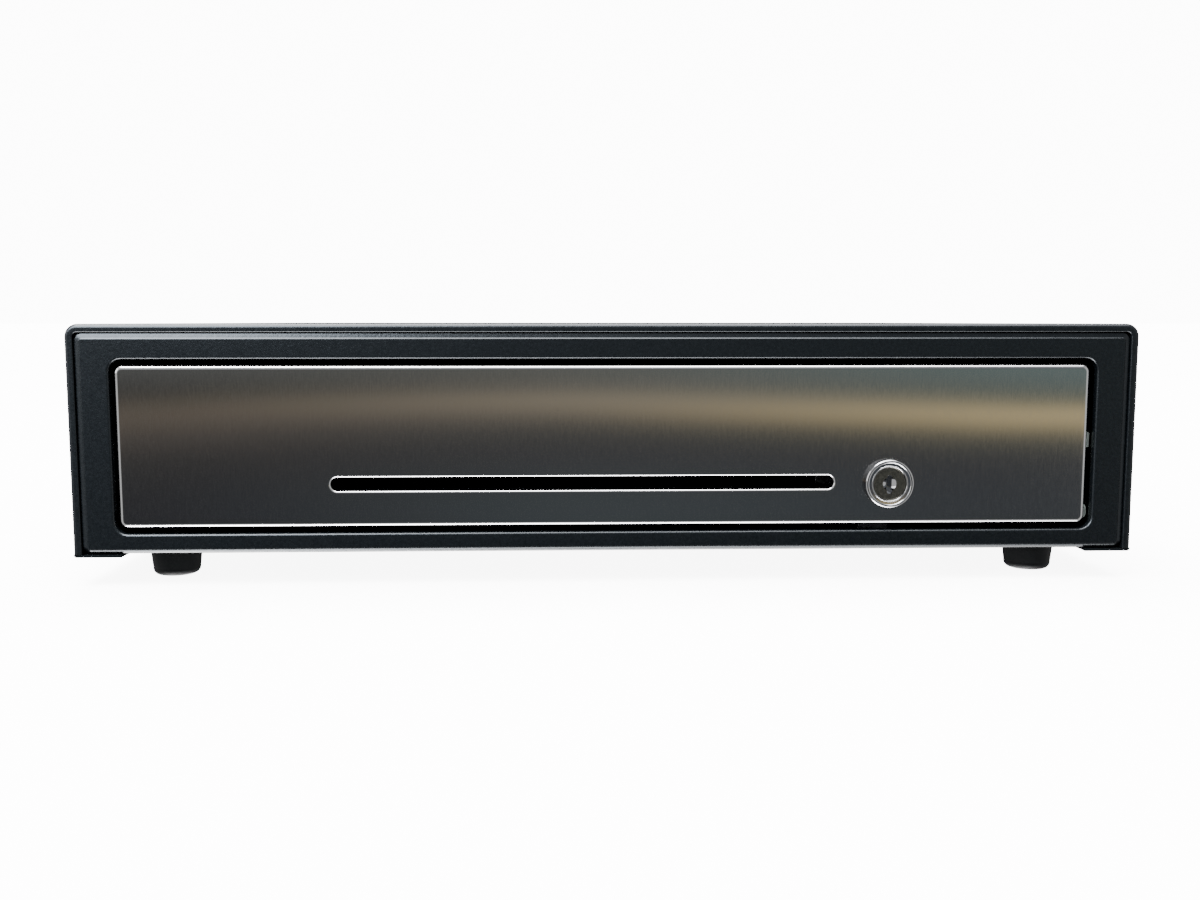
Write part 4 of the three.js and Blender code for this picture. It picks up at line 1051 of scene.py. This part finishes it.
def coat_wash():
    """Light from the front left that only the painted case catches; the steel front is kept out of it."""
    made = softbox("coat_wash", (-0.5, -0.75, 0.6), (0, -0.2, 0.05), (0.6, 0.6), 24, (0.88, 0.94, 1.0))
    made.visible_camera = False
    case = bpy.data.collections.new("painted_case")
    for name in ("cover_sheet", "frame_pressing", "frame_sole"):
        case.objects.link(bpy.data.objects[name])
    made.light_linking.receiver_collection = case


# The room that the metal mirrors, as heights above or below the horizon (the sine of the angle)
# with the colours to the left, straight ahead and to the right. A warm band lies just below it.
ROOM = [
    (-0.75, (0.60, 0.60, 0.61), (0.60, 0.60, 0.61), (0.50, 0.50, 0.51)),
    (-0.45, (0.35, 0.35, 0.36), (0.35, 0.35, 0.36), (0.30, 0.30, 0.31)),
    (-0.32, (0.05, 0.05, 0.053), (0.05, 0.05, 0.053), (0.04, 0.04, 0.043)),
    (-0.20, (0.044, 0.043, 0.05), (0.098, 0.114, 0.126), (0.066, 0.072, 0.078)),
    (-0.145, (0.044, 0.044, 0.052), (0.105, 0.122, 0.134), (0.072, 0.08, 0.092)),
    (-0.110, (0.064, 0.063, 0.063), (0.092, 0.094, 0.102), (0.078, 0.082, 0.09)),
    (-0.095, (0.115, 0.102, 0.095), (0.095, 0.098, 0.10), (0.115, 0.12, 0.112)),
    (-0.083, (0.16, 0.138, 0.12), (0.14, 0.134, 0.128), (0.36, 0.325, 0.22)),
    (-0.0725, (0.24, 0.195, 0.155), (0.33, 0.29, 0.235), (1.45, 1.13, 0.56)),
    (-0.065, (0.14, 0.122, 0.104), (0.62, 0.53, 0.385), (0.34, 0.33, 0.235)),
    (-0.054, (0.055, 0.056, 0.054), (0.22, 0.21, 0.19), (0.15, 0.19, 0.185)),
    (-0.040, (0.13, 0.134, 0.134), (0.19, 0.198, 0.19), (0.21, 0.28, 0.28)),
    (0.12, (0.28, 0.29, 0.31), (0.26, 0.27, 0.28), (0.16, 0.17, 0.18)),
    (0.50, (0.80, 0.82, 0.85), (0.60, 0.61, 0.63), (0.30, 0.31, 0.33)),
]
ROOM_SIDES = (-0.35, 0.02, 0.38)  # where the three columns stand, as the sine of the angle sideways
SIDE_WALLS, SIDE_WALL_GLOW = (0.45, 0.7), 0.6  # past these angles the room turns to pale side walls
POOL_MIDDLE, POOL_WIDE = -0.05, 0.52  # the lamps and the table light up only this far sideways
LAMP_LEFT, LAMP_RIGHT = 23.0, 8.0  # the lamp strip overhead, dimmer towards the right
TABLE_LEFT, TABLE_RIGHT = 28.0, 8.0  # the white table in front of the object, likewise


class World(Tree):
    """The studio's world and its nodes."""

    def __init__(self):
        world = bpy.data.worlds.new("studio")
        bpy.context.scene.world = world
        super().__init__(world)
        split = self.node("ShaderNodeSeparateXYZ")
        place = self.node("ShaderNodeTexCoord")
        self.link(place.outputs["Generated"], split.inputs["Vector"])
        self.across, self.height = split.outputs["X"], split.outputs["Z"]

    def math(self, kind, *values):
        node = self.node("ShaderNodeMath")
        node.operation = kind
        for socket, value in zip(node.inputs, values):
            self.feed(socket, value)
        return node.outputs["Value"]

    def ramp(self, value, stops):
        """Colours at heights from -1 to 1."""
        node = self.node("ShaderNodeValToRGB")
        elements = node.color_ramp.elements
        elements.remove(elements[0])
        for i, (height, color) in enumerate(stops):
            element = elements[0] if i == 0 else elements.new((height + 1) / 2)
            element.position = (height + 1) / 2
            element.color = (*color, 1)
        self.link(self.scaled(value, -1, 1), node.inputs["Fac"])
        return node.outputs["Color"]


def studio():
    """A white sweep behind the object, and in front of it the room that the metal mirrors."""
    world = World()
    left, ahead, right = (world.ramp(world.height, [(row[0], row[side]) for row in ROOM])
                          for side in (1, 2, 3))
    a, b, c = ROOM_SIDES
    room = world.mix(world.scaled(world.across, a, b), left, ahead)
    room = world.mix(world.scaled(world.across, b, c), room, right)
    aside = world.scaled(world.math("ABSOLUTE", world.across), *SIDE_WALLS)
    room = world.mix(aside, room, (SIDE_WALL_GLOW,) * 3)
    off = world.math("DIVIDE", world.math("SUBTRACT", world.across, POOL_MIDDLE), POOL_WIDE)
    pool = world.math("EXPONENT", world.math("MULTIPLY", world.math("POWER", off, 4.0), -1.0))
    white, dim, dark = (1, 1, 1), (0.05, 0.05, 0.05), (0, 0, 0)
    lamps = world.ramp(world.height, [(0.78, dark), (0.84, white), (0.97, white), (0.995, dim)])
    table = world.ramp(world.height, [(-0.995, dim), (-0.97, white), (-0.84, white), (-0.78, dark)])
    to_right = world.scaled(world.across, -0.4, 0.4)
    lamp_glow = world.mix(to_right, (LAMP_LEFT,) * 3, (LAMP_RIGHT,) * 3)
    table_glow = world.mix(to_right, (TABLE_LEFT,) * 3, (TABLE_RIGHT,) * 3)
    above = world.mix(1.0, lamps, lamp_glow, "MULTIPLY")
    below = world.mix(1.0, table, table_glow, "MULTIPLY")
    lit = world.mix(1.0, world.mix(1.0, above, below, "ADD"), pool, "MULTIPLY")
    background = world.nodes["Background"]
    world.link(world.mix(1.0, room, lit, "ADD"), background.inputs["Color"])
    sweep = world.node("ShaderNodeBackground")
    sweep.inputs["Strength"].default_value = SWEEP_GLOW
    sweep.inputs["Color"].default_value = (1, 1, 1, 1)
    seen = world.node("ShaderNodeLightPath")
    join = world.node("ShaderNodeMixShader")
    world.link(seen.outputs["Is Camera Ray"], join.inputs["Fac"])
    world.link(background.outputs["Background"], join.inputs[1])
    world.link(sweep.outputs["Background"], join.inputs[2])
    world.link(join.outputs["Shader"], world.nodes["World Output"].inputs["Surface"])
    softbox("overhead", (-0.1, 0.2, 1.5), (0, 0, 0.05), (1.6, 1.6), 16)
    softbox("key", (-1.3, -0.6, 0.5), (0, -0.1, 0.05), (0.9, 0.9), 5)
    softbox("fill", (1.4, 0.3, 0.8), (0, 0, 0.05), (0.8, 0.8), 3)
    coat_wash()


floor()
camera()
studio()
